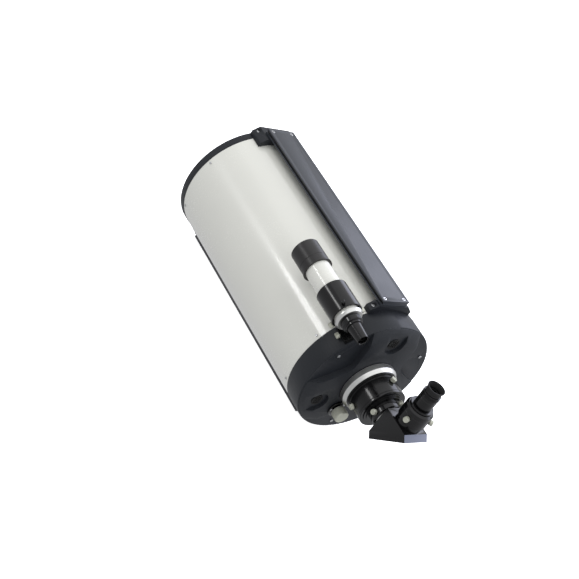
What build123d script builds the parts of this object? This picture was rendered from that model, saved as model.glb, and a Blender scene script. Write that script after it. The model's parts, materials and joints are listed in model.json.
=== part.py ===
"""Schmidt-Cassegrain telescope: optical tube, two dovetail rails, finder, rear adapter, diagonal, eyepiece.

Millimetres. The optical axis runs along Y, at axis_height above the lower rail's outer face, with the
aperture towards -Y and the eyepiece end towards +Y. +Z is up, towards the upper rail. The origin is the
middle of the lower rail's outer face. A clock angle is measured round an axis along Y, from +Z towards +X.
"""
from build123d import *
from math import cos, radians, sin, sqrt
import os

os.makedirs("parts", exist_ok=True)

# ---- clearances -----------------------------------------------------------------------------------
running_gap = 0.06      # radial, a piece that slides or turns in its bore
fitted_gap = 0.2        # radial, a fixed piece in its seat
thread_gap = 0.05       # radial, a screw in its hole

# ---- optical tube ---------------------------------------------------------------------------------
axis_height = 184.0
tube_outer_r = 157.5
tube_wall = 2.0
tube_front_y = -269.0
tube_length = 568.5
tube_inner_r = tube_outer_r - tube_wall
tube_rear_y = tube_front_y + tube_length
tube_screw_clocks = (65, 115, -115, -65)
tube_screw_inset = 9.5
spigot_wall = 5.0
spigot_length = 24.0
spigot_outer_r = tube_inner_r - fitted_gap
spigot_inner_r = spigot_outer_r - spigot_wall

# ---- front cell and corrector ---------------------------------------------------------------------
front_cell_length = 20.0
cell_step = 1.0         # the cells stand this far proud of the tube
cell_outer_r = tube_outer_r + cell_step
cell_edge = 2.5
aperture_r = 140.0
corrector_r = 146.0
corrector_thickness = 5.0
retainer_depth = 5.0
retainer_thickness = 3.0
retainer_outer_r = 152.0
retainer_inner_r = 141.0
retainer_screw_r = 149.2
retainer_screw_count = 8
front_y = tube_front_y - front_cell_length
retainer_front_y = front_y + retainer_depth
corrector_front_y = retainer_front_y + retainer_thickness
corrector_rear_y = corrector_front_y + corrector_thickness

# ---- secondary mirror assembly --------------------------------------------------------------------
secondary_hole_r = 36.0
secondary_flange_r = 47.5
secondary_flange_thickness = 4.5
secondary_bore_r = 31.5
secondary_housing_length = 34.0
secondary_front_y = corrector_front_y - 15.0
secondary_shield_length = 50.0
secondary_mirror_r = 30.8
secondary_mirror_thickness = 11.0
secondary_plate_thickness = 5.0
secondary_ring_r = 43.0
secondary_ring_length = 8.5
secondary_ring_lip = 3.0
secondary_ring_front = 2.0
secondary_ring_chamfer = 1.2
secondary_shield_rim = 4.0
secondary_shield_inset = 1.0
secondary_shield_front_wall = 2.5
secondary_shield_rear_wall = 1.5
secondary_plate_inset = 4.0
collimation_circle_r = 18.0
collimation_count = 3
collimation_screw_length = 11.0
collimation_head = 3.0
collimation_hole_depth = 12.5

# ---- primary mirror, baffle and focusing ----------------------------------------------------------
primary_r = 141.0
primary_edge_thickness = 24.0
primary_hole_r = 38.0
primary_curve_r = 1120.0
primary_back_y = 292.0
baffle_bore_r = 26.0
baffle_outer_r = 29.0
baffle_front_y = 62.0
baffle_lip_r = 36.0
baffle_lip_thickness = 5.0
carrier_outer_r = 35.0
carrier_front_y = 232.0
carrier_rear_y = 318.0
carrier_flange_r = 62.0
carrier_flange_thickness = 8.0
lock_ring_r = 45.0
lock_ring_thickness = 6.0
carrier_edge_gap = 1.0
focus_clock = 157.0
focus_circle_r = 87.5
focus_rod_r = 4.0
focus_rod_length = 82.0
focus_lug_width = 26.0
focus_lug_end = 10.0
focus_lug_root = 10.0
focus_rod_seat = 6.0
focus_rod_collar_r = 7.0
focus_rod_collar_length = 4.0
spindle_r = 6.5
knob_r = 16.5
knob_length = 22.0
knob_edge_r = 4.0
knob_boss_r = 10.0
knob_boss_length = 2.5
knob_bore_margin = 6.0
bearing_r = 11.0
bearing_width = 7.0
knob_plate_r = 21.5
knob_plate_thickness = 3.5
knob_plate_screw_r = 17.0
knob_plate_screw_clocks = (90, 210, 330)

# ---- rear cell ------------------------------------------------------------------------------------
rear_wall_length = 52.0
rear_side_wall = 8.0
rear_floor_thickness = 6.0
plateau_rise = 14.5
plateau_skin = 5.0
arm_count = 3
arm_half_width = 69.0
arm_corner_r = 30.0
shoulder_r = 132.0
recess_screw_circle_r = 139.5
vent_circle_r = 117.0
vent_r = 11.0
vent_flange_r = 14.0
vent_thickness = 1.6
vent_pocket_half_width = 25.0
vent_pocket_depth = 7.0
vent_pocket_start_r = vent_circle_r - vent_pocket_half_width
vent_hole_r = 1.5
vent_hole_spacing = 1.95
vent_hole_rows = 5
hub_boss_r = 52.0
hub_boss_length = 36.0
neck_r = 41.8
neck_length = 13.0
rim_y = tube_rear_y + rear_wall_length
plateau_y = rim_y + plateau_rise
arm_angle = 360 / arm_count

# ---- rails, saddles and their screws --------------------------------------------------------------
rail_width = 76.7
rail_thickness = 12.5
rail_land = 3.5
rail_flange = 3.0
rail_undercut = 4.0
rail_screw_x = 28.0
rail_screw_inset = 9.0
upper_rail_start_y = -264.0
upper_rail_length = 564.0
lower_rail_length = 572.0
saddle_gap = 0.1
saddle_length = 47.0
short_saddle_length = 19.0
short_saddle_screw_inset = 6.0
saddle_half_top = 44.0
saddle_half_width = 60.0
saddle_shoulder_drop = 13.5
front_saddle_start_y = -285.0
upper_rear_saddle_start_y = 283.5
lower_rear_saddle_start_y = 262.0
saddle_screw_x = 50.0
saddle_screw_seat_drop = 9.5
saddle_screw_inset = 6.0
rail_inner_h = axis_height - rail_thickness

# ---- rear adapter ---------------------------------------------------------------------------------
adapter_ring_r = 65.6
adapter_ring_band = 13.0
adapter_ring_rear_r = 61.0
adapter_flange_r = 60.0
adapter_flange_length = 3.0
adapter_ring_length = 21.0
adapter_ring_gap = 1.0
adapter_web = 7.5
adapter_body_r = 55.0
adapter_body_length = 50.5
adapter_socket_r = 45.0
adapter_throat_r = 34.0
adapter_screw_clocks = (-8, 115, -128)
adapter_screw_setback = 29.5
adapter_neck_clearance = 0.6
ring_front_y = plateau_y + adapter_ring_gap
ring_rear_y = ring_front_y + adapter_ring_length
body_rear_y = ring_rear_y + adapter_body_length

# ---- two inch collar ------------------------------------------------------------------------------
two_inch_r = 25.4
collar_r = 34.2
collar_length = 22.5
collar_step_r = 47.0
collar_inner_step_r = 41.3
collar_step_length = 2.2
collar_spigot_length = 38.0
collar_screw_clocks = (81, -39)
collar_screw_setback = 10.0
collar_rear_y = body_rear_y + collar_length

# ---- star diagonal --------------------------------------------------------------------------------
diagonal_half_width = 33.5
diagonal_front_reach = 42.0
diagonal_top_reach = 38.0
diagonal_body_offset = 6.0      # the joint face's distance along Y in front of the mirror plane
diagonal_base_offset = 18.0     # the base's outer face, measured along Y behind the mirror plane
diagonal_bore_r = 23.5
diagonal_mirror_thickness = 8.0
diagonal_mirror_length = 76.0
diagonal_mirror_width = 54.0
diagonal_flange_r = 29.0
diagonal_flange_length = 5.5
diagonal_corner = 2.0
diagonal_screw_margin = 2.7
nosepiece_length = 37.0
nosepiece_bore_r = 22.5
diagonal_front_y = collar_rear_y + diagonal_flange_length + fitted_gap
eye_axis_y = diagonal_front_y + diagonal_front_reach

# ---- eyepiece holder and eyepiece -----------------------------------------------------------------
holder_neck_r = 29.5
holder_neck_height = 12.0
holder_r = 32.5
holder_height = 50.0
holder_rim_height = 4.0
holder_screw_height = 27.0
holder_screw_clocks = (20, 140)
quarter_inch_r = 15.875
reducer_depth = 30.0
reducer_flange_r = 26.6
reducer_flange_height = 5.0
eyepiece_barrel_depth = 26.0
eyepiece_barrel_bore_r = 13.6
eyepiece_body_r = 20.2
eyepiece_body_height = 30.0
eyepiece_grip_r = 20.8
eyepiece_grip_height = 9.0
eyepiece_spigot_r = 15.4
eyepiece_bore_r = 14.0
eye_lens_r = 12.0
eye_lens_thickness = 5.0
field_lens_thickness = 4.0
eyecup_height = 15.0
eyecup_r = 17.6
eyecup_lip_r = 20.6
eyecup_wall = 2.2

# ---- finder ---------------------------------------------------------------------------------------
finder_clock = 42.0
finder_circle_r = 225.0
finder_tube_r = 28.0
finder_tube_wall = 1.5
finder_front_y = 137.0
dew_shield_r = 32.0
dew_shield_wall = 1.5
dew_shield_length = 61.0
dew_shield_flange_r = 33.3
dew_shield_flange_length = 3.0
dew_shield_socket = 12.0
objective_r = 26.0
objective_thickness = 9.0
objective_depth = 30.0
finder_tube_rear_y = 334.0
bracket_bore_r = 31.5
bracket_r = 34.7
bracket_start_y = 260.0
bracket_length = 70.0
bracket_stem_width = 20.0
bracket_stem_length = 34.0
oring_inset = 8.0
adjuster_inset = 9.0
adjuster_clocks = (162, -78)
spring_pin_clock = 42
spring_pin_r = 4.5
spring_pin_edge_r = 1.0
finder_ring_r = 31.1
finder_ring_rear_r = 27.8
finder_ring_length = 9.0
finder_grip_r = 22.5
finder_grip_length = 18.0
finder_eye_front_r = 15.5
finder_eye_rear_r = 13.0
finder_eye_length = 38.0
finder_eye_bore_r = 10.0
finder_socket_depth = 16.0
finder_eye_lens_thickness = 4.0

# ---- finder shoe ----------------------------------------------------------------------------------
shoe_half_width = 23.0
shoe_height = 12.5
shoe_floor = 3.5
shoe_start_y = 303.0
shoe_length = 45.0
foot_half_width = 17.0
foot_taper = 3.0
foot_gap = 0.35
foot_height = 8.0
shoe_screw_height = 7.5

# ---- screws ---------------------------------------------------------------------------------------
screw_head_round = 1 / 3        # of the head's height
screw_socket_depth = 0.6        # of the head's height
rail_screw_shank_r = 2.9
rail_screw_length = 17.0
rail_screw_head_r = 4.8
rail_screw_head = 3.0
small_shank_r = 2.0
small_head_r = 3.7
small_head = 2.0
small_screw_length = 8.5
retainer_shank_r = 1.5
retainer_head_r = 2.6
retainer_head = 1.5
retainer_screw_length = 9.0
tube_screw_head_r = 2.9
thumb_shank_r = 2.5
thumb_neck = 1.2
thumb_head_r = 6.5
thumb_head_length = 8.0

# ---- planes and places ----------------------------------------------------------------------------
finder_x = finder_circle_r * sin(radians(finder_clock))
finder_z = axis_height + finder_circle_r * cos(radians(finder_clock))
optical = Plane((0, 0, axis_height))
optical_axis = Axis((0, 0, axis_height), (0, 1, 0))
finder_plane = Plane((finder_x, 0, finder_z))
finder_axis = Axis((finder_x, 0, finder_z), (0, 1, 0))
eye_plane = Plane((0, eye_axis_y, axis_height), x_dir=(1, 0, 0), z_dir=(0, -1, 0))
eye_axis = Axis((0, eye_axis_y, axis_height), (0, 0, 1))
bottom_up = (Align.CENTER, Align.CENTER, Align.MIN)
top_down = (Align.CENTER, Align.CENTER, Align.MAX)


def section(clock, y):
    """Plane across the optical axis: local x is along the clock's increase, local y is radial."""
    return Plane((0, y, axis_height), x_dir=(cos(radians(clock)), 0, -sin(radians(clock))), z_dir=(0, -1, 0))


def outward(clock, radius, y, centre=(0, axis_height)):
    """Place at a clock angle round an axis along Y, its normal pointing away from that axis."""
    direction = Vector(sin(radians(clock)), 0, cos(radians(clock)))
    return Plane(Vector(centre[0], y, centre[1]) + direction * radius, x_dir=(0, 1, 0), z_dir=direction)


def endways(clock, radius, y, facing):
    """Place on a circle round the optical axis, its normal along Y in the facing direction, +1 or -1."""
    point = (radius * sin(radians(clock)), y, axis_height + radius * cos(radians(clock)))
    return Plane(point, x_dir=(1, 0, 0), z_dir=(0, facing, 0))


def band(inner, outer, start, end, mode=Mode.ADD):
    """Rectangle of a turned profile: from radius inner to outer, from start to end along the axis."""
    with Locations(((inner + outer) / 2, (start + end) / 2)):
        Rectangle(outer - inner, end - start, mode=mode)


def outline(*points, mode=Mode.ADD):
    """Straight-sided closed outline of a turned profile or a section, its corners where they are given."""
    Polygon(*points, align=None, mode=mode)


def socket_screw(shank_r, shank_length, head_r, head_height):
    """Button-head socket screw standing on its origin: head above, shank below."""
    with BuildPart() as screw:
        Cylinder(head_r, head_height, align=bottom_up)
        fillet(screw.edges().group_by(Axis.Z)[-1], head_height * screw_head_round)
        Cylinder(shank_r, shank_length, align=top_down)
        with BuildSketch(Plane.XY.offset(head_height)):
            RegularPolygon(head_r / 2, 6)
        extrude(amount=-head_height * screw_socket_depth, mode=Mode.SUBTRACT)
    return screw.part


def thumbscrew(reach):
    """Thumbscrew standing on its seat: shank reaching down, neck and round head above."""
    with BuildPart() as screw:
        Cylinder(thumb_shank_r, reach, align=top_down)
        Cylinder(thumb_shank_r + thumb_neck, thumb_neck, align=bottom_up)
        with Locations((0, 0, thumb_neck)):
            Cylinder(thumb_head_r, thumb_head_length, align=bottom_up)
        chamfer(screw.edges().filter_by(GeomType.CIRCLE).group_by(Axis.Z)[-1], thumb_neck / 2)
    return screw.part


def finish(piece, name):
    """Label a finished piece and write it."""
    piece.part.label = name
    export_step(piece.part, f"parts/{name}.step")


# ---- screw patterns shared by the pieces they go through --------------------------------------------
front_screw_y = tube_front_y + tube_screw_inset
rear_screw_y = tube_rear_y - tube_screw_inset
tube_screw_places = [
    outward(clock, tube_outer_r, y) for y in (front_screw_y, rear_screw_y) for clock in tube_screw_clocks
]
retainer_screw_places = [
    endways(360 / retainer_screw_count * n, retainer_screw_r, retainer_front_y, -1)
    for n in range(retainer_screw_count)
]
focus_centre = endways(focus_clock, focus_circle_r, plateau_y, 1)
knob_plate_y = plateau_y + knob_plate_thickness
knob_plate_places = [
    Plane(
        focus_centre.origin
        + Vector(sin(radians(a)), 0, cos(radians(a))) * knob_plate_screw_r
        + Vector(0, knob_plate_thickness, 0),
        x_dir=(1, 0, 0),
        z_dir=(0, 1, 0),
    )
    for a in knob_plate_screw_clocks
]
recess_clocks = (60, 180, -60)
recess_screw_places = [endways(c, recess_screw_circle_r, rim_y, 1) for c in recess_clocks]
vent_clocks = (0, arm_angle, -arm_angle)
vent_y = plateau_y - vent_pocket_depth
collimation_places = [
    endways(arm_angle * n, collimation_circle_r, secondary_front_y + secondary_plate_thickness, -1)
    for n in range(collimation_count)
]
lower_rail_start_y = -lower_rail_length / 2
rails = (
    (0, upper_rail_start_y, upper_rail_length),
    (180, lower_rail_start_y, lower_rail_length),
)
saddles = (
    (0, front_saddle_start_y, saddle_length, tube_front_y - saddle_screw_inset),
    (0, upper_rear_saddle_start_y, short_saddle_length, tube_rear_y - short_saddle_screw_inset),
    (180, front_saddle_start_y, saddle_length, tube_front_y - saddle_screw_inset),
    (180, lower_rear_saddle_start_y, saddle_length, tube_rear_y + saddle_screw_inset),
)


def rail_place(clock, across, y, height):
    """Place over a rail or saddle: across the rail, along Y, and at a height above the optical axis."""
    turned = section(clock, y)
    return Plane(turned.from_local_coords((across, height, 0)), x_dir=(0, 1, 0), z_dir=turned.y_dir)


rail_screw_seat = axis_height - rail_screw_head - fitted_gap * 2
rail_screw_places = [
    rail_place(clock, side * rail_screw_x, y, rail_screw_seat)
    for clock, start, length in rails
    for y in (start + rail_screw_inset, start + length - rail_screw_inset)
    for side in (-1, 1)
]
saddle_screw_places = [
    rail_place(clock, side * saddle_screw_x, y, rail_inner_h - saddle_screw_seat_drop)
    for clock, _, _, y in saddles
    for side in (-1, 1)
]

# ==== tube and front end ============================================================================
with BuildPart() as optical_tube:
    with BuildSketch(optical):
        band(tube_inner_r, tube_outer_r, tube_front_y, tube_rear_y)
    revolve(axis=optical_axis)
    with Locations(*tube_screw_places):
        Hole(small_shank_r + thread_gap, tube_wall * 2)
    with Locations(*saddle_screw_places):
        Hole(rail_screw_shank_r + thread_gap, rail_screw_length + fitted_gap)

with BuildPart() as front_cell:
    with BuildSketch(optical) as front_profile:
        band(retainer_outer_r + fitted_gap, cell_outer_r, front_y, tube_front_y)
        band(corrector_r + fitted_gap, cell_outer_r, corrector_front_y, tube_front_y)
        band(aperture_r, cell_outer_r, corrector_rear_y, tube_front_y)
        band(spigot_inner_r, spigot_outer_r, tube_front_y, tube_front_y + spigot_length)
        fillet(front_profile.vertices().group_by(Axis.Y)[0].sort_by(Axis.X)[-1], cell_edge)
    revolve(axis=optical_axis)
    with Locations(*tube_screw_places):
        Hole(small_shank_r + thread_gap, tube_wall + spigot_wall * 2)
    with Locations(*retainer_screw_places):
        Hole(retainer_shank_r + thread_gap, front_cell_length / 2)
    with Locations(*saddle_screw_places):
        Hole(rail_screw_shank_r + thread_gap, rail_screw_length + fitted_gap)

with BuildPart() as corrector_plate:
    with BuildSketch(optical):
        band(secondary_hole_r, corrector_r, corrector_front_y, corrector_rear_y)
    revolve(axis=optical_axis)

with BuildPart() as corrector_retainer:
    with BuildSketch(optical):
        band(retainer_inner_r, retainer_outer_r, retainer_front_y, corrector_front_y)
    revolve(axis=optical_axis)
    with Locations(*retainer_screw_places):
        Hole(retainer_shank_r + thread_gap, retainer_thickness * 2)

retainer_screw = socket_screw(retainer_shank_r, retainer_screw_length, retainer_head_r, retainer_head)
with BuildPart() as retainer_screws:
    with Locations(*retainer_screw_places):
        add(retainer_screw)

# ==== secondary mirror ==============================================================================
secondary_rear_y = secondary_front_y + secondary_housing_length
housing_outer_r = secondary_hole_r - fitted_gap
plate_rear_y = secondary_front_y + secondary_plate_thickness * 2
secondary_back_y = plate_rear_y + secondary_plate_thickness
secondary_flange_y = corrector_front_y - secondary_flange_thickness

with BuildPart() as secondary_housing:
    with BuildSketch(optical):
        band(secondary_bore_r, housing_outer_r, secondary_front_y, secondary_rear_y)
        band(housing_outer_r, secondary_flange_r, secondary_flange_y, corrector_front_y)
    revolve(axis=optical_axis)

with BuildPart() as secondary_ring:
    lip_front_y = secondary_front_y - secondary_ring_front
    lip_rear_y = secondary_front_y - fitted_gap
    ring_end_y = secondary_front_y + secondary_ring_length
    with BuildSketch(optical) as ring_profile:
        band(housing_outer_r + thread_gap, secondary_ring_r, lip_rear_y, ring_end_y)
        band(secondary_bore_r - secondary_ring_lip, secondary_ring_r, lip_front_y, lip_rear_y)
        chamfer(ring_profile.vertices().group_by(Axis.Y)[0].sort_by(Axis.X)[-1], secondary_ring_chamfer)
    revolve(axis=optical_axis)

with BuildPart() as secondary_cell:
    with BuildSketch(optical):
        band(0, secondary_bore_r - fitted_gap, secondary_front_y, plate_rear_y - secondary_plate_thickness)
    revolve(axis=optical_axis)
    with Locations(*collimation_places):
        Hole(small_shank_r + thread_gap, secondary_plate_thickness * 2)
        with Locations((0, 0, secondary_plate_thickness)):
            Hole(small_head_r + fitted_gap, secondary_plate_thickness / 2)

shield_front_r = secondary_flange_r - secondary_shield_inset
shield_rim_y = corrector_rear_y + secondary_shield_rim
with BuildPart() as secondary_shield:
    with BuildSketch(optical):
        band(housing_outer_r + thread_gap, shield_front_r, corrector_rear_y, shield_rim_y)
        outline(
            (shield_front_r - secondary_shield_front_wall, shield_rim_y),
            (shield_front_r, shield_rim_y),
            (secondary_flange_r, corrector_rear_y + secondary_shield_length),
            (secondary_flange_r - secondary_shield_rear_wall, corrector_rear_y + secondary_shield_length),
        )
    revolve(axis=optical_axis)

with BuildPart() as secondary_mirror:
    with BuildSketch(optical):
        band(0, secondary_mirror_r, secondary_back_y, secondary_back_y + secondary_mirror_thickness)
        band(0, secondary_mirror_r - secondary_plate_inset, plate_rear_y, secondary_back_y)
    revolve(axis=optical_axis)
    with Locations(*collimation_places):
        Hole(small_shank_r + thread_gap, collimation_hole_depth)

collimation_screw = socket_screw(small_shank_r, collimation_screw_length, small_head_r, collimation_head)
with BuildPart() as collimation_screws:
    with Locations(*collimation_places):
        with Locations((0, 0, secondary_plate_thickness / 2)):
            add(collimation_screw)

# ==== primary mirror and focusing ====================================================================
front_edge_y = primary_back_y - primary_edge_thickness


def sag(radius):
    """Depth of the primary's spherical face at a radius."""
    return primary_curve_r - sqrt(primary_curve_r**2 - radius**2)


hole_edge_y = front_edge_y + sag(primary_r) - sag(primary_hole_r)
mirror_centre_y = front_edge_y + sag(primary_r)

with BuildPart() as primary_mirror:
    with BuildSketch(optical):
        with BuildLine():
            middle_r = (primary_r + primary_hole_r) / 2
            ThreePointArc(
                (primary_hole_r, hole_edge_y),
                (middle_r, mirror_centre_y - sag(middle_r)),
                (primary_r, front_edge_y),
            )
            Polyline(
                (primary_r, front_edge_y),
                (primary_r, primary_back_y),
                (primary_hole_r, primary_back_y),
                (primary_hole_r, hole_edge_y),
            )
        make_face()
    revolve(axis=optical_axis)

with BuildPart() as primary_baffle:
    with BuildSketch(optical):
        band(baffle_bore_r, baffle_outer_r, baffle_front_y, plateau_y + baffle_lip_thickness)
        band(baffle_outer_r, baffle_lip_r, plateau_y, plateau_y + baffle_lip_thickness)
    revolve(axis=optical_axis)

carrier_bore_r = baffle_outer_r + running_gap
lock_ring_rear_y = mirror_centre_y - sag(lock_ring_r) - fitted_gap
lock_ring_front_y = lock_ring_rear_y - lock_ring_thickness
flange_rear_y = primary_back_y + carrier_flange_thickness
lug_reach = focus_circle_r + focus_lug_end
with BuildPart() as mirror_carrier:
    with BuildSketch(optical):
        band(carrier_bore_r, carrier_outer_r, carrier_front_y, carrier_rear_y)
        band(carrier_outer_r, primary_hole_r - fitted_gap, hole_edge_y + carrier_edge_gap, primary_back_y)
        band(carrier_outer_r, carrier_flange_r, primary_back_y, flange_rear_y)
    revolve(axis=optical_axis)
    with BuildSketch(section(focus_clock, primary_back_y)):
        with Locations((0, (carrier_flange_r + lug_reach - focus_lug_root) / 2)):
            Rectangle(focus_lug_width, lug_reach - carrier_flange_r + focus_lug_root)
    extrude(amount=-carrier_flange_thickness)
    with Locations(endways(focus_clock, focus_circle_r, flange_rear_y, 1)):
        Hole(focus_rod_r + thread_gap, focus_rod_seat)

with BuildPart() as mirror_lock_ring:
    with BuildSketch(optical):
        band(carrier_outer_r + thread_gap, lock_ring_r, lock_ring_front_y, lock_ring_rear_y)
    revolve(axis=optical_axis)

rod_front_y = flange_rear_y - focus_rod_seat
with BuildPart() as focus_rod:
    with Locations(endways(focus_clock, focus_circle_r, rod_front_y, 1)):
        Cylinder(focus_rod_r, focus_rod_length, align=bottom_up)
    with Locations(endways(focus_clock, focus_circle_r, flange_rear_y, 1)):
        Cylinder(focus_rod_collar_r, focus_rod_collar_length, align=bottom_up)

# ==== rear cell ======================================================================================
pocket_length = cell_outer_r - vent_pocket_start_r
pocket_reach = cell_outer_r - vent_circle_r
with BuildPart() as rear_cell:
    with BuildSketch(optical) as rear_profile:
        band(cell_outer_r - rear_side_wall, cell_outer_r, tube_rear_y, rim_y)
        band(baffle_outer_r + fitted_gap, cell_outer_r, rim_y - rear_floor_thickness, rim_y)
        band(spigot_inner_r, spigot_outer_r, tube_rear_y - spigot_length, tube_rear_y)
        fillet(rear_profile.vertices().group_by(Axis.Y)[-1].sort_by(Axis.X)[-1], cell_edge)
    revolve(axis=optical_axis)
    with BuildSketch(section(0, rim_y)) as star:
        with PolarLocations(0, arm_count, start_angle=90):
            Rectangle(cell_outer_r * 2, arm_half_width * 2, align=(Align.MIN, Align.CENTER))
        fillet(star.vertices().sort_by_distance((0, 0))[:arm_count], arm_corner_r)
        Circle(cell_outer_r - cell_edge, mode=Mode.INTERSECT)
        Circle(baffle_outer_r + fitted_gap, mode=Mode.SUBTRACT)
    extrude(amount=-plateau_rise)
    with BuildSketch(optical):
        outline((shoulder_r, plateau_y), (cell_outer_r, rim_y), (cell_outer_r, plateau_y))
    revolve(axis=optical_axis, mode=Mode.SUBTRACT)
    with BuildSketch(section(0, rim_y - rear_floor_thickness)) as cavity:
        with PolarLocations(0, arm_count, start_angle=90):
            Rectangle(shoulder_r, arm_half_width * 2 - plateau_skin * 2, align=(Align.MIN, Align.CENTER))
        Circle(shoulder_r - plateau_skin * 2, mode=Mode.INTERSECT)
        with PolarLocations(vent_pocket_start_r - plateau_skin, arm_count, start_angle=90):
            Rectangle(
                pocket_length + plateau_skin,
                (vent_pocket_half_width + plateau_skin) * 2,
                align=(Align.MIN, Align.CENTER),
                mode=Mode.SUBTRACT,
            )
        Circle(hub_boss_r, mode=Mode.SUBTRACT)
        focus_spot = cavity.workplanes[0].to_local_coords(focus_centre.origin)
        with Locations((focus_spot.X, focus_spot.Y)):
            Circle(knob_plate_r, mode=Mode.SUBTRACT)
    extrude(amount=-(rear_floor_thickness + plateau_rise - plateau_skin), mode=Mode.SUBTRACT)
    with BuildSketch(section(0, vent_y)):
        with PolarLocations(vent_circle_r, arm_count, start_angle=90):
            Rectangle(pocket_reach, vent_pocket_half_width * 2, align=(Align.MIN, Align.CENTER))
            Circle(vent_pocket_half_width)
    extrude(amount=-vent_pocket_depth, mode=Mode.SUBTRACT)
    with BuildSketch(optical):
        band(baffle_outer_r + fitted_gap, hub_boss_r, plateau_y - hub_boss_length, plateau_y)
        band(baffle_lip_r + fitted_gap, neck_r, plateau_y, plateau_y + neck_length)
    revolve(axis=optical_axis)
    with Locations(*[endways(c, vent_circle_r, vent_y, 1) for c in vent_clocks]):
        Hole(vent_r, plateau_rise + rear_floor_thickness)
    with Locations(focus_centre):
        Hole(spindle_r + fitted_gap * 2, plateau_rise + rear_floor_thickness * 2)
        Hole(bearing_r + thread_gap, bearing_width)
    with Locations(*knob_plate_places, *recess_screw_places):
        Hole(small_shank_r + thread_gap, plateau_skin * 2)
    with Locations(*tube_screw_places):
        Hole(small_shank_r + thread_gap, tube_wall + spigot_wall * 2)
    with Locations(*saddle_screw_places):
        Hole(rail_screw_shank_r + thread_gap, rail_screw_length + fitted_gap)

with BuildPart() as vent_screens:
    with Locations(*[endways(c, vent_circle_r, vent_y, 1) for c in vent_clocks]):
        Cylinder(vent_flange_r, vent_thickness, align=bottom_up)
        Cylinder(vent_r - fitted_gap, vent_thickness, align=top_down)
        with HexLocations(vent_hole_spacing, vent_hole_rows, vent_hole_rows):
            Cylinder(vent_hole_r, vent_thickness * 3, mode=Mode.SUBTRACT)

with BuildPart() as focus_bearing:
    with Locations(focus_centre):
        Cylinder(bearing_r, bearing_width, align=top_down)
        Cylinder(spindle_r + thread_gap, bearing_width * 3, mode=Mode.SUBTRACT)

with BuildPart() as focus_plate:
    with Locations(focus_centre):
        Cylinder(knob_plate_r, knob_plate_thickness, align=bottom_up)
        Cylinder(knob_boss_r, knob_plate_thickness + knob_boss_length, align=bottom_up)
        Cylinder(spindle_r + fitted_gap * 2, plateau_rise, mode=Mode.SUBTRACT)
    with Locations(*knob_plate_places):
        Hole(small_shank_r + thread_gap, knob_plate_thickness * 2)

knob_front_y = knob_plate_y + knob_boss_length + fitted_gap * 2
knob_rear_y = knob_front_y + knob_length
knob_bore_y = knob_rear_y - knob_bore_margin
spindle_length = knob_bore_y - rim_y
with BuildPart() as focus_spindle:
    with Locations(endways(focus_clock, focus_circle_r, rim_y, 1)):
        Cylinder(spindle_r, spindle_length, align=bottom_up)
        Cylinder(focus_rod_r + running_gap, spindle_length * 3, mode=Mode.SUBTRACT)

with BuildPart() as focus_knob:
    with Locations(endways(focus_clock, focus_circle_r, knob_front_y, 1)):
        Cylinder(knob_r, knob_length, align=bottom_up)
        fillet(focus_knob.edges().filter_by(GeomType.CIRCLE).sort_by(Axis.Y)[-1], knob_edge_r)
        Cylinder(spindle_r + thread_gap, (knob_length - knob_bore_margin) * 2, mode=Mode.SUBTRACT)

small_screw = socket_screw(small_shank_r, small_screw_length, small_head_r, small_head)
with BuildPart() as tube_screws:
    with Locations(*[place.offset(fitted_gap) for place in tube_screw_places]):
        add(socket_screw(small_shank_r, spigot_wall + tube_wall, tube_screw_head_r, small_head))

with BuildPart() as rear_cell_screws:
    with Locations(*knob_plate_places, *recess_screw_places):
        add(small_screw)

# ==== rails and saddles ==============================================================================
half_rail = rail_width / 2


def rail_section():
    """Dovetail section: wide outer land, undercut flanks, flange against the saddles."""
    outer = axis_height
    land = outer - rail_land
    flange = rail_inner_h + rail_flange
    right = [
        (half_rail, outer),
        (half_rail, land),
        (half_rail - rail_undercut, flange),
        (half_rail, flange),
        (half_rail, rail_inner_h),
    ]
    left = [(-x, y) for x, y in reversed(right)]
    outline(*right, *left)


def rail_holes():
    """Counterbored holes for the screws that hold a rail to its saddles."""
    with Locations(*rail_screw_places):
        Hole(rail_screw_shank_r + thread_gap, rail_thickness)
        Hole(rail_screw_head_r + fitted_gap, fitted_gap)
        with Locations((0, 0, rail_screw_head + fitted_gap * 2)):
            Hole(rail_screw_head_r + fitted_gap, rail_screw_head + fitted_gap * 2)


with BuildPart() as upper_rail:
    with BuildSketch(section(0, upper_rail_start_y)):
        rail_section()
    extrude(amount=-upper_rail_length)
    rail_holes()

with BuildPart() as lower_rail:
    with BuildSketch(section(180, lower_rail_start_y)):
        rail_section()
    extrude(amount=-lower_rail_length)
    rail_holes()

seat_r = cell_outer_r + saddle_gap
shoulder_h = rail_inner_h - saddle_shoulder_drop
with BuildPart() as saddle_blocks:
    for clock, start, length, _ in saddles:
        with BuildSketch(section(clock, start)):
            outline(
                (saddle_half_top, rail_inner_h),
                (saddle_half_width, shoulder_h),
                (saddle_half_width, 0),
                (-saddle_half_width, 0),
                (-saddle_half_width, shoulder_h),
                (-saddle_half_top, rail_inner_h),
            )
            Circle(seat_r, mode=Mode.SUBTRACT)
        extrude(amount=-length)
    with Locations(*rail_screw_places):
        Hole(rail_screw_shank_r + thread_gap, rail_screw_length + fitted_gap)
    with Locations(*saddle_screw_places):
        Hole(rail_screw_shank_r + thread_gap, rail_screw_length * 2)
        with Locations((0, 0, saddle_screw_seat_drop)):
            Hole(rail_screw_head_r + fitted_gap, saddle_screw_seat_drop)

rail_screw = socket_screw(rail_screw_shank_r, rail_screw_length, rail_screw_head_r, rail_screw_head)
with BuildPart() as rail_screws:
    with Locations(*rail_screw_places, *saddle_screw_places):
        add(rail_screw)

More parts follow.
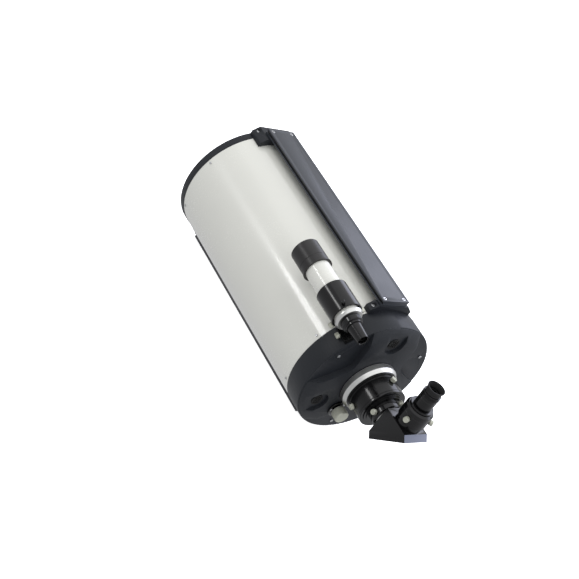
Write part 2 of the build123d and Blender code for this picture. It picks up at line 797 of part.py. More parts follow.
# ==== rear adapter and collar ========================================================================
neck_rear_y = plateau_y + neck_length
body_spigot_r = neck_r - adapter_neck_clearance
with BuildPart() as adapter_ring:
    with BuildSketch(optical) as ring_outline:
        band(neck_r + thread_gap, adapter_ring_r, ring_front_y, ring_front_y + adapter_ring_band)
        outline(
            (body_spigot_r + fitted_gap, neck_rear_y + fitted_gap),
            (neck_r + thread_gap, neck_rear_y + fitted_gap),
            (neck_r + thread_gap, ring_front_y + adapter_ring_band),
            (adapter_ring_r - cell_step, ring_front_y + adapter_ring_band),
            (adapter_ring_rear_r, ring_rear_y),
            (body_spigot_r + fitted_gap, ring_rear_y),
        )
        chamfer(ring_outline.vertices().group_by(Axis.Y)[0].sort_by(Axis.X)[-1], cell_step)
    revolve(axis=optical_axis)

adapter_screw_y = body_rear_y - adapter_screw_setback
adapter_screw_places = [outward(c, adapter_body_r, adapter_screw_y) for c in adapter_screw_clocks]
with BuildPart() as adapter_body:
    with BuildSketch(optical) as body_profile:
        band(adapter_throat_r, adapter_body_r, ring_rear_y, ring_rear_y + adapter_web)
        band(adapter_throat_r, adapter_flange_r, ring_rear_y, ring_rear_y + adapter_flange_length)
        band(adapter_socket_r, adapter_body_r, ring_rear_y + adapter_web, body_rear_y)
        band(adapter_throat_r, body_spigot_r, neck_rear_y + fitted_gap * 2, ring_rear_y)
        chamfer(body_profile.vertices().group_by(Axis.Y)[-1].sort_by(Axis.X)[-1], cell_step)
    revolve(axis=optical_axis)
    with Locations(*adapter_screw_places):
        Hole(thumb_shank_r + thread_gap, adapter_body_r - adapter_throat_r)

spigot_front_y = body_rear_y - collar_spigot_length
collar_bore_r = two_inch_r + running_gap
collar_screw_y = collar_rear_y - collar_screw_setback
collar_step_y = body_rear_y + collar_step_length
with BuildPart() as collar:
    with BuildSketch(optical) as collar_profile:
        band(adapter_throat_r, adapter_socket_r - running_gap, spigot_front_y, body_rear_y)
        band(collar_bore_r, adapter_throat_r, body_rear_y - collar_step_length * 2, body_rear_y)
        band(collar_bore_r, collar_step_r, body_rear_y + running_gap, collar_step_y)
        band(collar_bore_r, adapter_throat_r, body_rear_y, body_rear_y + running_gap)
        band(collar_bore_r, collar_inner_step_r, collar_step_y, collar_step_y + collar_step_length)
        band(collar_bore_r, collar_r, collar_step_y + collar_step_length, collar_rear_y)
        chamfer(collar_profile.vertices().group_by(Axis.Y)[-1].sort_by(Axis.X)[-1], cell_edge)
    revolve(axis=optical_axis)
    with Locations(*[outward(c, collar_r, collar_screw_y) for c in collar_screw_clocks]):
        Hole(thumb_shank_r + thread_gap, collar_r - two_inch_r)

adapter_screw_reach = adapter_body_r - adapter_socket_r
with BuildPart() as adapter_screws:
    with Locations(*[place.offset(fitted_gap) for place in adapter_screw_places]):
        add(thumbscrew(adapter_screw_reach))

with BuildPart() as collar_thumbscrew_1:
    with Locations(outward(collar_screw_clocks[0], collar_r + fitted_gap, collar_screw_y)):
        add(thumbscrew(collar_r - two_inch_r))

with BuildPart() as collar_thumbscrew_2:
    with Locations(outward(collar_screw_clocks[1], collar_r + fitted_gap, collar_screw_y)):
        add(thumbscrew(collar_r - two_inch_r))

# ==== star diagonal ==================================================================================
# The diagonal's side profile is drawn on planes across X, with local x along Y and local y along Z.
side_plane = Plane((-diagonal_half_width, eye_axis_y, axis_height), x_dir=(0, 1, 0), z_dir=(1, 0, 0))
joint_foot = diagonal_body_offset - diagonal_front_reach
joint_top = diagonal_top_reach - diagonal_body_offset
base_drop = (diagonal_base_offset + diagonal_body_offset) / 2
body_vertices = (
    (-diagonal_front_reach, diagonal_top_reach),
    (-diagonal_front_reach, joint_foot),
    (joint_top, diagonal_top_reach),
)
diagonal_face = Plane((0, eye_axis_y, axis_height), x_dir=(1, 0, 0), z_dir=(0, -1, 1))

with BuildPart() as diagonal_body:
    with BuildSketch(side_plane):
        outline(*body_vertices)
    extrude(amount=diagonal_half_width * 2)
    chamfer(diagonal_body.edges().filter_by(Axis.X).sort_by(Axis.Y)[:1], diagonal_corner)
    with BuildSketch(Plane((0, diagonal_front_y, axis_height), x_dir=(1, 0, 0), z_dir=(0, -1, 0))):
        Circle(diagonal_bore_r)
    extrude(amount=-diagonal_front_reach * 2, mode=Mode.SUBTRACT)
    with BuildSketch(Plane((0, eye_axis_y, axis_height + diagonal_top_reach))):
        Circle(diagonal_bore_r)
    extrude(amount=-diagonal_top_reach * 2, mode=Mode.SUBTRACT)

mirror_pocket_depth = diagonal_mirror_thickness + diagonal_body_offset / sqrt(2)
with BuildPart() as diagonal_base:
    with BuildSketch(side_plane):
        outline(
            (-diagonal_front_reach, joint_foot),
            (base_drop - diagonal_front_reach, joint_foot - base_drop),
            (joint_top + base_drop, diagonal_top_reach - base_drop),
            (joint_top, diagonal_top_reach),
        )
    extrude(amount=diagonal_half_width * 2)
    base_middle = (diagonal_front_reach - diagonal_top_reach) / sqrt(2) / 2
    with BuildSketch(diagonal_face.offset(diagonal_body_offset / sqrt(2))):
        with Locations((0, -base_middle)):
            Rectangle(diagonal_mirror_width + fitted_gap * 2, diagonal_mirror_length + fitted_gap * 2)
    extrude(amount=-mirror_pocket_depth - fitted_gap, mode=Mode.SUBTRACT)

with BuildPart() as diagonal_mirror:
    with BuildSketch(diagonal_face):
        with Locations((0, -base_middle)):
            Rectangle(diagonal_mirror_width, diagonal_mirror_length)
    extrude(amount=-diagonal_mirror_thickness)

base_back = diagonal_face.offset(-diagonal_base_offset / sqrt(2))
base_screw_x = diagonal_mirror_width / 2 + diagonal_screw_margin
base_screw_y = diagonal_mirror_length / 2 + small_head_r
base_screw_spots = [
    (x, y - base_middle) for x in (-base_screw_x, base_screw_x) for y in (-base_screw_y, base_screw_y)
]
base_screw_places = [
    Plane(base_back.from_local_coords((x, y, 0)), x_dir=(1, 0, 0), z_dir=-base_back.z_dir)
    for x, y in base_screw_spots
]
base_thickness = (diagonal_base_offset + diagonal_body_offset) / sqrt(2)
with BuildPart(mode=Mode.PRIVATE) as base_drill:
    with Locations(*base_screw_places):
        Cylinder(small_shank_r + thread_gap, base_thickness + small_head * 2, align=top_down)
        Cylinder(small_head_r + fitted_gap, small_head + fitted_gap, align=top_down)
with diagonal_base:
    add(base_drill.part, mode=Mode.SUBTRACT)
with diagonal_body:
    add(base_drill.part, mode=Mode.SUBTRACT)

with BuildPart() as diagonal_screws:
    with Locations(*[place.offset(-small_head) for place in base_screw_places]):
        add(socket_screw(small_shank_r, base_thickness, small_head_r, small_head))

nose_flange_y = diagonal_front_y - diagonal_flange_length
with BuildPart() as diagonal_nosepiece:
    with BuildSketch(optical) as nose_profile:
        band(nosepiece_bore_r, two_inch_r, nose_flange_y - nosepiece_length, diagonal_front_y)
        band(two_inch_r, diagonal_flange_r, nose_flange_y, diagonal_front_y)
        chamfer(nose_profile.vertices().group_by(Axis.Y)[0].sort_by(Axis.X)[-1], cell_step)
    revolve(axis=optical_axis)

# ==== eyepiece holder and eyepiece, turned on the eye axis ===========================================
holder_top = diagonal_top_reach + holder_height
holder_bore_r = two_inch_r + running_gap
holder_screw_z = diagonal_top_reach + holder_screw_height


def eye_side(clock):
    """Seat of a thumbscrew on the holder, at an angle from +X towards +Y."""
    direction = Vector(cos(radians(clock)), sin(radians(clock)), 0)
    point = Vector(0, eye_axis_y, axis_height + holder_screw_z) + direction * holder_r
    return Plane(point, x_dir=(0, 0, 1), z_dir=direction)


with BuildPart() as eyepiece_holder:
    with BuildSketch(eye_plane) as holder_profile:
        band(holder_bore_r, holder_neck_r, diagonal_top_reach, diagonal_top_reach + holder_neck_height)
        band(holder_bore_r, holder_r, diagonal_top_reach + holder_neck_height, holder_top)
        chamfer(holder_profile.vertices().group_by(Axis.Y)[-1].sort_by(Axis.X)[-1], holder_rim_height)
        chamfer(holder_profile.vertices().group_by(Axis.Y)[1].sort_by(Axis.X)[-1], cell_step)
    revolve(axis=eye_axis)
    with Locations(*[eye_side(c) for c in holder_screw_clocks]):
        Hole(thumb_shank_r + thread_gap, holder_r - two_inch_r)

with BuildPart() as holder_thumbscrew_1:
    with Locations(eye_side(holder_screw_clocks[0]).offset(fitted_gap)):
        add(thumbscrew(holder_r - two_inch_r))

with BuildPart() as holder_thumbscrew_2:
    with Locations(eye_side(holder_screw_clocks[1]).offset(fitted_gap)):
        add(thumbscrew(holder_r - two_inch_r))

flange_top = holder_top + reducer_flange_height
with BuildPart() as eyepiece_reducer:
    with BuildSketch(eye_plane):
        band(quarter_inch_r + running_gap, two_inch_r, holder_top - reducer_depth, flange_top)
        band(two_inch_r, reducer_flange_r, holder_top, flange_top)
    revolve(axis=eye_axis)

body_bottom = flange_top + fitted_gap
body_top = body_bottom + eyepiece_body_height
grip_top = body_top + eyepiece_grip_height
with BuildPart() as eyepiece_barrel:
    with BuildSketch(eye_plane):
        band(eyepiece_barrel_bore_r, quarter_inch_r, body_bottom - eyepiece_barrel_depth, body_bottom)
    revolve(axis=eye_axis)

with BuildPart() as eyepiece_body:
    with BuildSketch(eye_plane) as eye_profile:
        band(eyepiece_bore_r, eyepiece_body_r, body_bottom, body_top)
        band(eyepiece_bore_r, eyepiece_grip_r, body_top, grip_top)
        band(eye_lens_r - cell_edge, eyepiece_spigot_r, grip_top, grip_top + cell_edge)
        chamfer(eye_profile.vertices().group_by(Axis.Y)[0].sort_by(Axis.X)[-1], cell_step)
    revolve(axis=eye_axis)

lens_r = eyepiece_bore_r - running_gap
field_lens_z = body_bottom + cell_edge
with BuildPart() as eyepiece_lenses:
    with BuildSketch(eye_plane):
        band(0, lens_r, grip_top - eye_lens_thickness, grip_top)
        band(0, lens_r, field_lens_z, field_lens_z + field_lens_thickness)
    revolve(axis=eye_axis)

cup_top = grip_top + eyecup_height
with BuildPart() as eyecup:
    with BuildSketch(eye_plane):
        band(eyepiece_spigot_r + thread_gap, eyecup_r, grip_top, grip_top + cell_edge + eyecup_wall)
        outline(
            (eyecup_r - eyecup_wall, grip_top + cell_edge + eyecup_wall),
            (eyecup_r, grip_top + cell_edge + eyecup_wall),
            (eyecup_lip_r, cup_top),
            (eyecup_lip_r - eyecup_wall, cup_top),
        )
    revolve(axis=eye_axis)

# ==== finder, turned on its own axis =================================================================
shield_rear_y = finder_front_y + dew_shield_length
shield_flange_y = shield_rear_y - dew_shield_flange_length
shield_inner_r = dew_shield_r - dew_shield_wall
finder_inner_r = finder_tube_r - finder_tube_wall
objective_y = finder_front_y + objective_depth
bracket_rear_y = bracket_start_y + bracket_length
adjuster_y = bracket_rear_y - adjuster_inset
finder_centre = (finder_x, finder_z)
with BuildPart() as finder_tube:
    with BuildSketch(finder_plane):
        band(finder_inner_r, finder_tube_r, shield_rear_y - dew_shield_socket, finder_tube_rear_y)
    revolve(axis=finder_axis)

with BuildPart() as finder_dew_shield:
    with BuildSketch(finder_plane):
        band(shield_inner_r, dew_shield_r, finder_front_y, shield_rear_y)
        band(finder_tube_r + thread_gap, dew_shield_flange_r, shield_flange_y, shield_rear_y)
        band(objective_r + fitted_gap, dew_shield_r, objective_y, objective_y + objective_thickness)
    revolve(axis=finder_axis)

with BuildPart() as finder_objective:
    with BuildSketch(finder_plane):
        band(0, objective_r, objective_y, objective_y + objective_thickness)
    revolve(axis=finder_axis)

with BuildPart() as finder_rear_ring:
    ring_front = finder_tube_rear_y
    ring_bore_r = finder_eye_front_r + running_gap
    with BuildSketch(finder_plane):
        outline(
            (ring_bore_r, ring_front),
            (finder_ring_r, ring_front),
            (finder_ring_r, ring_front + finder_ring_length / 2),
            (finder_ring_rear_r, ring_front + finder_ring_length),
            (ring_bore_r, ring_front + finder_ring_length),
        )
        band(ring_bore_r, finder_inner_r - fitted_gap, ring_front - finder_socket_depth, ring_front)
    revolve(axis=finder_axis)

grip_front_y = finder_tube_rear_y + finder_ring_length + fitted_gap * 2
grip_rear_y = grip_front_y + finder_grip_length
eye_rear_y = grip_rear_y + finder_eye_length
with BuildPart() as finder_eyepiece:
    with BuildSketch(finder_plane):
        band(finder_eye_bore_r, finder_eye_front_r, grip_front_y - finder_socket_depth, grip_front_y)
        band(finder_eye_bore_r, finder_grip_r, grip_front_y, grip_rear_y)
        outline(
            (finder_eye_bore_r, grip_rear_y),
            (finder_eye_front_r, grip_rear_y),
            (finder_eye_rear_r, eye_rear_y),
            (finder_eye_bore_r, eye_rear_y),
        )
    revolve(axis=finder_axis)

with BuildPart() as finder_eye_lens:
    lens_rear_y = eye_rear_y - finder_eye_bore_r
    with BuildSketch(finder_plane):
        band(0, finder_eye_bore_r, lens_rear_y - finder_eye_lens_thickness, lens_rear_y)
    revolve(axis=finder_axis)

with BuildPart() as finder_oring:
    section_r = (bracket_bore_r - finder_tube_r) / 2
    oring_r = section_r - running_gap
    with BuildSketch(finder_plane):
        with Locations((finder_tube_r + section_r, bracket_start_y + oring_inset)):
            Circle(oring_r)
    revolve(axis=finder_axis)

# The bracket's stem runs from its foot, in the shoe, out to the bracket's tube.
shoe_base_r = cell_outer_r + saddle_gap
foot_bottom_r = shoe_base_r + shoe_floor + foot_gap
foot_top_r = foot_bottom_r + foot_height
shoe_top_r = shoe_base_r + shoe_height
bracket_bottom_r = finder_circle_r - bracket_r
stem_start_y = shoe_start_y - bracket_stem_length / 2
with BuildPart() as finder_bracket:
    with BuildSketch(finder_plane):
        band(bracket_bore_r, bracket_r, bracket_start_y, bracket_rear_y)
    revolve(axis=finder_axis)
    with BuildSketch(section(finder_clock, shoe_start_y)):
        outline(
            (foot_half_width, foot_bottom_r),
            (foot_half_width - foot_taper, foot_top_r),
            (-foot_half_width + foot_taper, foot_top_r),
            (-foot_half_width, foot_bottom_r),
        )
    extrude(amount=-shoe_length)
    with BuildSketch(section(finder_clock, stem_start_y)):
        with Locations((0, (shoe_top_r + bracket_bottom_r) / 2)):
            Rectangle(bracket_stem_width, bracket_bottom_r - shoe_top_r + bracket_r - bracket_bore_r)
    extrude(amount=-(bracket_rear_y - stem_start_y))
    with BuildSketch(section(finder_clock, shoe_start_y)):
        with Locations((0, (foot_top_r + shoe_top_r) / 2)):
            Rectangle(bracket_stem_width, shoe_top_r - foot_top_r + foot_taper)
    extrude(amount=-(bracket_rear_y - shoe_start_y))
    with Locations(*[outward(c, bracket_r, adjuster_y, finder_centre) for c in adjuster_clocks]):
        Hole(thumb_shank_r + thread_gap, bracket_r - finder_tube_r)
    with Locations(outward(spring_pin_clock, bracket_r, adjuster_y, finder_centre)):
        Hole(spring_pin_r + thread_gap, bracket_r - finder_tube_r)
    with BuildSketch(finder_plane):
        band(0, bracket_bore_r, stem_start_y, bracket_rear_y)
    revolve(axis=finder_axis, mode=Mode.SUBTRACT)

adjuster_reach = bracket_r - finder_tube_r
with BuildPart() as finder_adjuster_1:
    with Locations(outward(adjuster_clocks[0], bracket_r + fitted_gap, adjuster_y, finder_centre)):
        add(thumbscrew(adjuster_reach))

with BuildPart() as finder_adjuster_2:
    with Locations(outward(adjuster_clocks[1], bracket_r + fitted_gap, adjuster_y, finder_centre)):
        add(thumbscrew(adjuster_reach))

with BuildPart() as finder_spring_pin:
    with Locations(outward(spring_pin_clock, bracket_r, adjuster_y, finder_centre)):
        Cylinder(spring_pin_r, adjuster_reach - thread_gap, align=top_down)
        Cylinder(spring_pin_r, spring_pin_r * 2, align=bottom_up)
        pin_edges = finder_spring_pin.edges().filter_by(GeomType.CIRCLE)
        fillet(pin_edges.sort_by_distance((0, adjuster_y, axis_height))[-1], spring_pin_edge_r)

shoe_screw_place = Plane(
    section(finder_clock, shoe_start_y + shoe_length / 2).from_local_coords(
        (shoe_half_width, shoe_base_r + shoe_screw_height, 0)
    ),
    x_dir=(0, 1, 0),
    z_dir=section(finder_clock, 0).x_dir,
)
with BuildPart() as finder_shoe:
    with BuildSketch(section(finder_clock, shoe_start_y)):
        outline(
            (shoe_half_width, shoe_base_r - shoe_floor * 2),
            (shoe_half_width, shoe_top_r),
            (-shoe_half_width, shoe_top_r),
            (-shoe_half_width, shoe_base_r - shoe_floor * 2),
        )
        Circle(shoe_base_r, mode=Mode.SUBTRACT)
        outline(
            (foot_half_width + foot_gap, foot_bottom_r - foot_gap),
            (foot_half_width - foot_taper + foot_gap, foot_top_r + foot_gap),
            (-foot_half_width + foot_taper - foot_gap, foot_top_r + foot_gap),
            (-foot_half_width - foot_gap, foot_bottom_r - foot_gap),
            mode=Mode.SUBTRACT,
        )
        with Locations((0, (foot_top_r + shoe_top_r) / 2)):
            Rectangle(bracket_stem_width + foot_gap * 2, shoe_height, mode=Mode.SUBTRACT)
    extrude(amount=-shoe_length)
    with Locations(shoe_screw_place):
        Hole(thumb_shank_r + thread_gap, shoe_half_width - foot_half_width + foot_taper)

with BuildPart() as shoe_thumbscrew:
    with Locations(shoe_screw_place.offset(fitted_gap)):
        add(thumbscrew(shoe_half_width - foot_half_width))

# ==== write the pieces ===============================================================================
pieces = {
    "optical_tube": optical_tube,
    "front_cell": front_cell,
    "corrector_plate": corrector_plate,
    "corrector_retainer": corrector_retainer,
    "retainer_screws": retainer_screws,
    "secondary_housing": secondary_housing,
    "secondary_ring": secondary_ring,
    "secondary_cell": secondary_cell,
    "secondary_shield": secondary_shield,
    "secondary_mirror": secondary_mirror,
    "collimation_screws": collimation_screws,
    "primary_mirror": primary_mirror,
    "primary_baffle": primary_baffle,
    "mirror_carrier": mirror_carrier,
    "mirror_lock_ring": mirror_lock_ring,
    "focus_rod": focus_rod,
    "rear_cell": rear_cell,
    "vent_screens": vent_screens,
    "focus_bearing": focus_bearing,
    "focus_plate": focus_plate,
    "focus_spindle": focus_spindle,
    "focus_knob": focus_knob,
    "tube_screws": tube_screws,
    "rear_cell_screws": rear_cell_screws,
    "upper_rail": upper_rail,
    "lower_rail": lower_rail,
    "saddle_blocks": saddle_blocks,
    "rail_screws": rail_screws,
    "adapter_ring": adapter_ring,
    "adapter_body": adapter_body,
    "adapter_screws": adapter_screws,
    "collar": collar,
    "collar_thumbscrew_1": collar_thumbscrew_1,
    "collar_thumbscrew_2": collar_thumbscrew_2,
    "diagonal_nosepiece": diagonal_nosepiece,
    "diagonal_body": diagonal_body,
    "diagonal_base": diagonal_base,
    "diagonal_mirror": diagonal_mirror,
    "diagonal_screws": diagonal_screws,
    "eyepiece_holder": eyepiece_holder,
    "holder_thumbscrew_1": holder_thumbscrew_1,
    "holder_thumbscrew_2": holder_thumbscrew_2,
    "eyepiece_reducer": eyepiece_reducer,
    "eyepiece_barrel": eyepiece_barrel,
    "eyepiece_body": eyepiece_body,
    "eyepiece_lenses": eyepiece_lenses,
    "eyecup": eyecup,
    "finder_tube": finder_tube,
    "finder_dew_shield": finder_dew_shield,
    "finder_objective": finder_objective,
    "finder_rear_ring": finder_rear_ring,
    "finder_eyepiece": finder_eyepiece,
    "finder_eye_lens": finder_eye_lens,
    "finder_oring": finder_oring,
    "finder_bracket": finder_bracket,
    "finder_adjuster_1": finder_adjuster_1,
    "finder_adjuster_2": finder_adjuster_2,
    "finder_spring_pin": finder_spring_pin,
    "finder_shoe": finder_shoe,
    "shoe_thumbscrew": shoe_thumbscrew,
}
for name, piece in pieces.items():
    finish(piece, name)
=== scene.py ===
"""Schmidt-Cassegrain telescope: turned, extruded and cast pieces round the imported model.

Sizes in the tables are millimetres in the model's frame: the optical axis runs along +Y at AXIS_HEIGHT, the
aperture is towards -Y, +Z is up. A clock angle is measured round an axis along Y, from +Z towards +X.
"""
import json
from math import atan2, cos, pi, radians, sin, sqrt

import bmesh
import bpy
from bpy.props import FloatProperty, FloatVectorProperty, IntProperty, PointerProperty
from mathutils import Matrix, Vector


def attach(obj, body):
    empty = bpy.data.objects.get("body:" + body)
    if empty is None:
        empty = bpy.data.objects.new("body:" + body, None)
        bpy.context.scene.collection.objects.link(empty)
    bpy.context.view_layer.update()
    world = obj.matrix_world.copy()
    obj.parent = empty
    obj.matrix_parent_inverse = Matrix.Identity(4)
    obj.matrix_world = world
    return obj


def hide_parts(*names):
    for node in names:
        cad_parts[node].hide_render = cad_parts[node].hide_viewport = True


bl_info = {
    "name": "Schmidt-Cassegrain Telescope",
    "version": (1, 0, 0),
    "blender": (4, 5, 0),
    "location": "View3D > Sidebar > Telescope",
    "description": "Builds a closed-tube telescope with rails, finder, star diagonal and eyepiece",
    "category": "Add Mesh",
}

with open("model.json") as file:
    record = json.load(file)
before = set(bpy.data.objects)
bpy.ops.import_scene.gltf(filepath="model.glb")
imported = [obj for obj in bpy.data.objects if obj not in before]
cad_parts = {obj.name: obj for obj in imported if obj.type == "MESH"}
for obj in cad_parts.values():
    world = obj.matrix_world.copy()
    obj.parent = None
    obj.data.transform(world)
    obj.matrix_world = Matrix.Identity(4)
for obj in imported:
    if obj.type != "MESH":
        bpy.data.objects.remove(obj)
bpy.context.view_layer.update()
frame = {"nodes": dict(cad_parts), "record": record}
RECORD = frame["record"]
BODY_OF = {node: body for body, nodes in RECORD["behaviour"]["bodies"].items() for node in nodes}

MM = 0.001
AXIS_HEIGHT = 184.0
EYE_Y = 508.7
FINDER_CLOCK = 42.0
FINDER_CIRCLE = 225.0
FINDER_X = FINDER_CIRCLE * sin(radians(FINDER_CLOCK))
FINDER_Z = AXIS_HEIGHT + FINDER_CIRCLE * cos(radians(FINDER_CLOCK))
FOCUS_CLOCK = 157.0
FOCUS_CIRCLE = 87.5
# Ring of the collar, holder, adapter body and finder bracket that each row of thumbscrews stands on.
ADAPTER_SCREWS_R, ADAPTER_SCREWS_Y = 55.2, 409
COLLAR_SCREWS_R, COLLAR_SCREWS_Y = 34.4, 451
HOLDER_SCREWS_R, HOLDER_SCREWS_Z = 32.7, 249
FINDER_SCREWS_R, FINDER_SCREWS_Y = 34.9, 321
SPRING_PIN_R = 34.7
# The shoe's screw: across the shoe, up from the axis, along the tube.
SHOE_SCREW_SIDE, SHOE_SCREW_HEIGHT, SHOE_SCREW_Y = 23.2, 166.1, 325.5
SCREW_STEPS = 60
MERGE = 1e-6
CORNER_ANGLE = radians(30)


def linear(code):
    """Linear RGBA of an sRGB hex colour."""
    channels = [int(code[i : i + 2], 16) / 255 for i in (0, 2, 4)]
    return (*(c / 12.92 if c <= 0.04045 else ((c + 0.055) / 1.055) ** 2.4 for c in channels), 1.0)


# ---- properties -------------------------------------------------------------------------------------
def colour(label, description, code):
    """Colour property whose default is an sRGB hex value."""
    return FloatVectorProperty(
        name=label, description=description, subtype="COLOR", size=4, default=linear(code)
    )


class TelescopeSizes(bpy.types.PropertyGroup):
    """Sizes of the tube and the front cell, and how finely the pieces are made."""

    tube_radius: FloatProperty(
        name="Tube radius", description="Outer radius of the painted tube", default=157.5 * MM, unit="LENGTH"
    )
    tube_wall: FloatProperty(
        name="Tube wall", description="Thickness of the tube's sheet", default=2.0 * MM, unit="LENGTH"
    )
    cell_radius: FloatProperty(
        name="Cell radius", description="Outer radius of the front cell", default=158.5 * MM, unit="LENGTH"
    )
    turned_edge: FloatProperty(
        name="Turned edge", description="Broken edge left by the lathe", default=0.45 * MM, unit="LENGTH"
    )
    cast_edge: FloatProperty(
        name="Cast edge", description="Rounded edge of the cast rear cell", default=2.4 * MM, unit="LENGTH"
    )
    knurl_pitch: FloatProperty(
        name="Knurl pitch", description="Distance between two knurled teeth", default=1.35 * MM, unit="LENGTH"
    )
    segments: IntProperty(name="Segments", description="Steps round a turned piece", default=192, min=24)


class TelescopeColours(bpy.types.PropertyGroup):
    """Colours of the finishes, and of the painted reflection on the diagonal cover."""

    enamel: colour("Tube enamel", "Glossy enamel on the tube and the finder", "e4e4dc")
    casting: colour("Cell paint", "Satin paint on the cast cells", "1f2227")
    extrusion: colour("Rail anodising", "Satin anodising on the rails", "373a40")
    black: colour("Black anodising", "Glossy anodising on the turned black pieces", "0b0b0c")
    silver: colour("Bare aluminium", "Machined aluminium rings and knobs", "d5d5d2")
    steel: colour("Screw steel", "Stainless screws", "c9cacb")
    rubber: colour("Rubber", "Eyecup and O-ring", "121213")
    brass: colour("Brass", "Focus spindle", "b8923f")
    # Painted reflection: a pale bluish tint on the black diagonal cover's rear faces stands for the light
    # panel's sheen.
    lavender: colour("Painted reflection on diagonal cover", "Painted reflection of the light panel on the diagonal cover's end faces", "6d7284")
    floor: colour("Floor", "Light table the telescope stands on", "fbfbfb")


# ---- places -----------------------------------------------------------------------------------------
def along_y(x, z):
    """Matrix that stands a turned piece along +Y, on an axis through x and z."""
    return Matrix.Translation(Vector((x, 0, z)) * MM) @ Matrix.Rotation(-pi / 2, 4, "X")


OPTICAL = along_y(0, AXIS_HEIGHT)
FINDER = along_y(FINDER_X, FINDER_Z)
KNOB = along_y(
    FOCUS_CIRCLE * sin(radians(FOCUS_CLOCK)), AXIS_HEIGHT + FOCUS_CIRCLE * cos(radians(FOCUS_CLOCK))
)
EYE = Matrix.Translation(Vector((0, EYE_Y, 0)) * MM)


def facing(point, direction):
    """Matrix that stands a turned piece on a point, along a direction."""
    turn = Vector(direction).to_track_quat("Z", "Y").to_matrix().to_4x4()
    return Matrix.Translation(Vector(point) * MM) @ turn


def finder_ways():
    """Directions across the finder's shoe, and up from the optical axis to the finder."""
    slant = radians(FINDER_CLOCK)
    return Vector((cos(slant), 0, -sin(slant))), Vector((sin(slant), 0, cos(slant)))


def outward(clock, radius, y, centre=(0, AXIS_HEIGHT)):
    """Matrix on a circle round an axis along Y, its local Z pointing away from that axis."""
    away = Vector((sin(radians(clock)), 0, cos(radians(clock))))
    return facing(Vector((centre[0], y, centre[1])) + away * radius, away)


# ---- mesh making ------------------------------------------------------------------------------------
def keep_corners(bm, angle=CORNER_ANGLE):
    """Gives the sharp corners the weight that the Bevel modifier rounds."""
    weight = bm.edges.layers.float.get("bevel_weight_edge") or bm.edges.layers.float.new("bevel_weight_edge")
    for edge in bm.edges:
        if len(edge.link_faces) == 2 and edge.calc_face_angle() > angle:
            edge[weight] = 1.0


def finished(bm, name, material, edge, node=None, steps=3):
    """Turns a bmesh into a piece with rounded corners that stands for a node of the model."""
    mesh = bpy.data.meshes.new(name)
    for face in bm.faces:
        face.smooth = True
    bm.to_mesh(mesh)
    bm.free()
    mesh.materials.append(material)
    piece = bpy.data.objects.new(name, mesh)
    bpy.context.scene.collection.objects.link(piece)
    if edge:
        bevel = piece.modifiers.new("Corners", "BEVEL")
        bevel.limit_method = "WEIGHT"
        bevel.width = edge
        bevel.segments = steps
        bevel.harden_normals = True
    node = node or name.replace("look_", "")
    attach(piece, BODY_OF[node])
    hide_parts(node)
    return piece


def knurl_band(bm, low, high, depth, steps):
    """Presses straight teeth into the part of a turned surface between two heights."""
    reach = max(Vector((v.co.x, v.co.y)).length for v in bm.verts if low <= v.co.z / MM <= high)
    for vert in bm.verts:
        flat = Vector((vert.co.x, vert.co.y))
        if low <= vert.co.z / MM <= high and flat.length > reach - MERGE:
            if round(atan2(flat.y, flat.x) / (2 * pi) * steps) % 2:
                vert.co.x *= 1 - depth * MM / flat.length
                vert.co.y *= 1 - depth * MM / flat.length
    for edge in bm.edges:
        if len(edge.link_faces) == 2 and edge.calc_face_angle() > CORNER_ANGLE:
            edge.smooth = False


def turn(bm, profile, place, steps, knurl=None):
    """Spins a profile of (radius, height) points round a piece's axis, closing its poles."""
    before = set(bm.verts)
    points = [bm.verts.new((r * MM, 0, h * MM)) for r, h in profile]
    lines = [bm.edges.new(pair) for pair in zip(points, points[1:])]
    if min(r for r, _ in profile) > 0:
        lines.append(bm.edges.new((points[-1], points[0])))
    bmesh.ops.spin(
        bm, geom=points + lines, axis=(0, 0, 1), cent=(0, 0, 0), angle=2 * pi, steps=steps, use_merge=True
    )
    bmesh.ops.remove_doubles(bm, verts=[v for v in bm.verts if v not in before], dist=MERGE)
    fresh = [v for v in bm.verts if v not in before]
    faces = {f for v in fresh for f in v.link_faces}
    bmesh.ops.recalc_face_normals(bm, faces=list(faces))
    keep_corners(bm)
    if knurl:
        knurl_band(bm, *knurl, steps)
    bmesh.ops.transform(bm, matrix=place, verts=fresh)


def turned(name, profile, place, material, edge=None, knurl=None, steps=None):
    """One turned piece. knurl is (low height, high height, depth)."""
    sizes = bpy.context.scene.telescope_sizes
    if knurl:
        reach = max(r for r, h in profile if knurl[0] <= h <= knurl[1]) * MM
        steps = 2 * round(2 * pi * reach / sizes.knurl_pitch)
    bm = bmesh.new()
    turn(bm, profile, place, steps or sizes.segments, knurl)
    return finished(bm, "look_" + name, material, sizes.turned_edge if edge is None else edge * MM)


def rounded_copy(name, material, edge, steps=2):
    """Copy of a model node with its loose triangles merged and its corners broken."""
    bm = bmesh.new()
    bm.from_mesh(frame["nodes"][name].data)
    bmesh.ops.remove_doubles(bm, verts=bm.verts, dist=MERGE * 2)
    bmesh.ops.dissolve_limit(bm, angle_limit=radians(0.4), verts=bm.verts, edges=bm.edges)
    keep_corners(bm)
    return finished(bm, "look_" + name, material, edge * MM, steps=steps)


def tint_faces(piece, material, chosen):
    """Gives a second material to the faces whose normal passes a test, to paint shade on the rails' undercuts
    and a reflection on the diagonal cover.
    """
    piece.data.materials.append(material)
    for face in piece.data.polygons:
        if chosen(face.normal):
            face.material_index = 1


def paint(material, *nodes):
    """Gives model nodes whose shape stays a better material."""
    for node in nodes:
        piece = frame["nodes"][node]
        for place in piece.material_slots:
            place.material = material


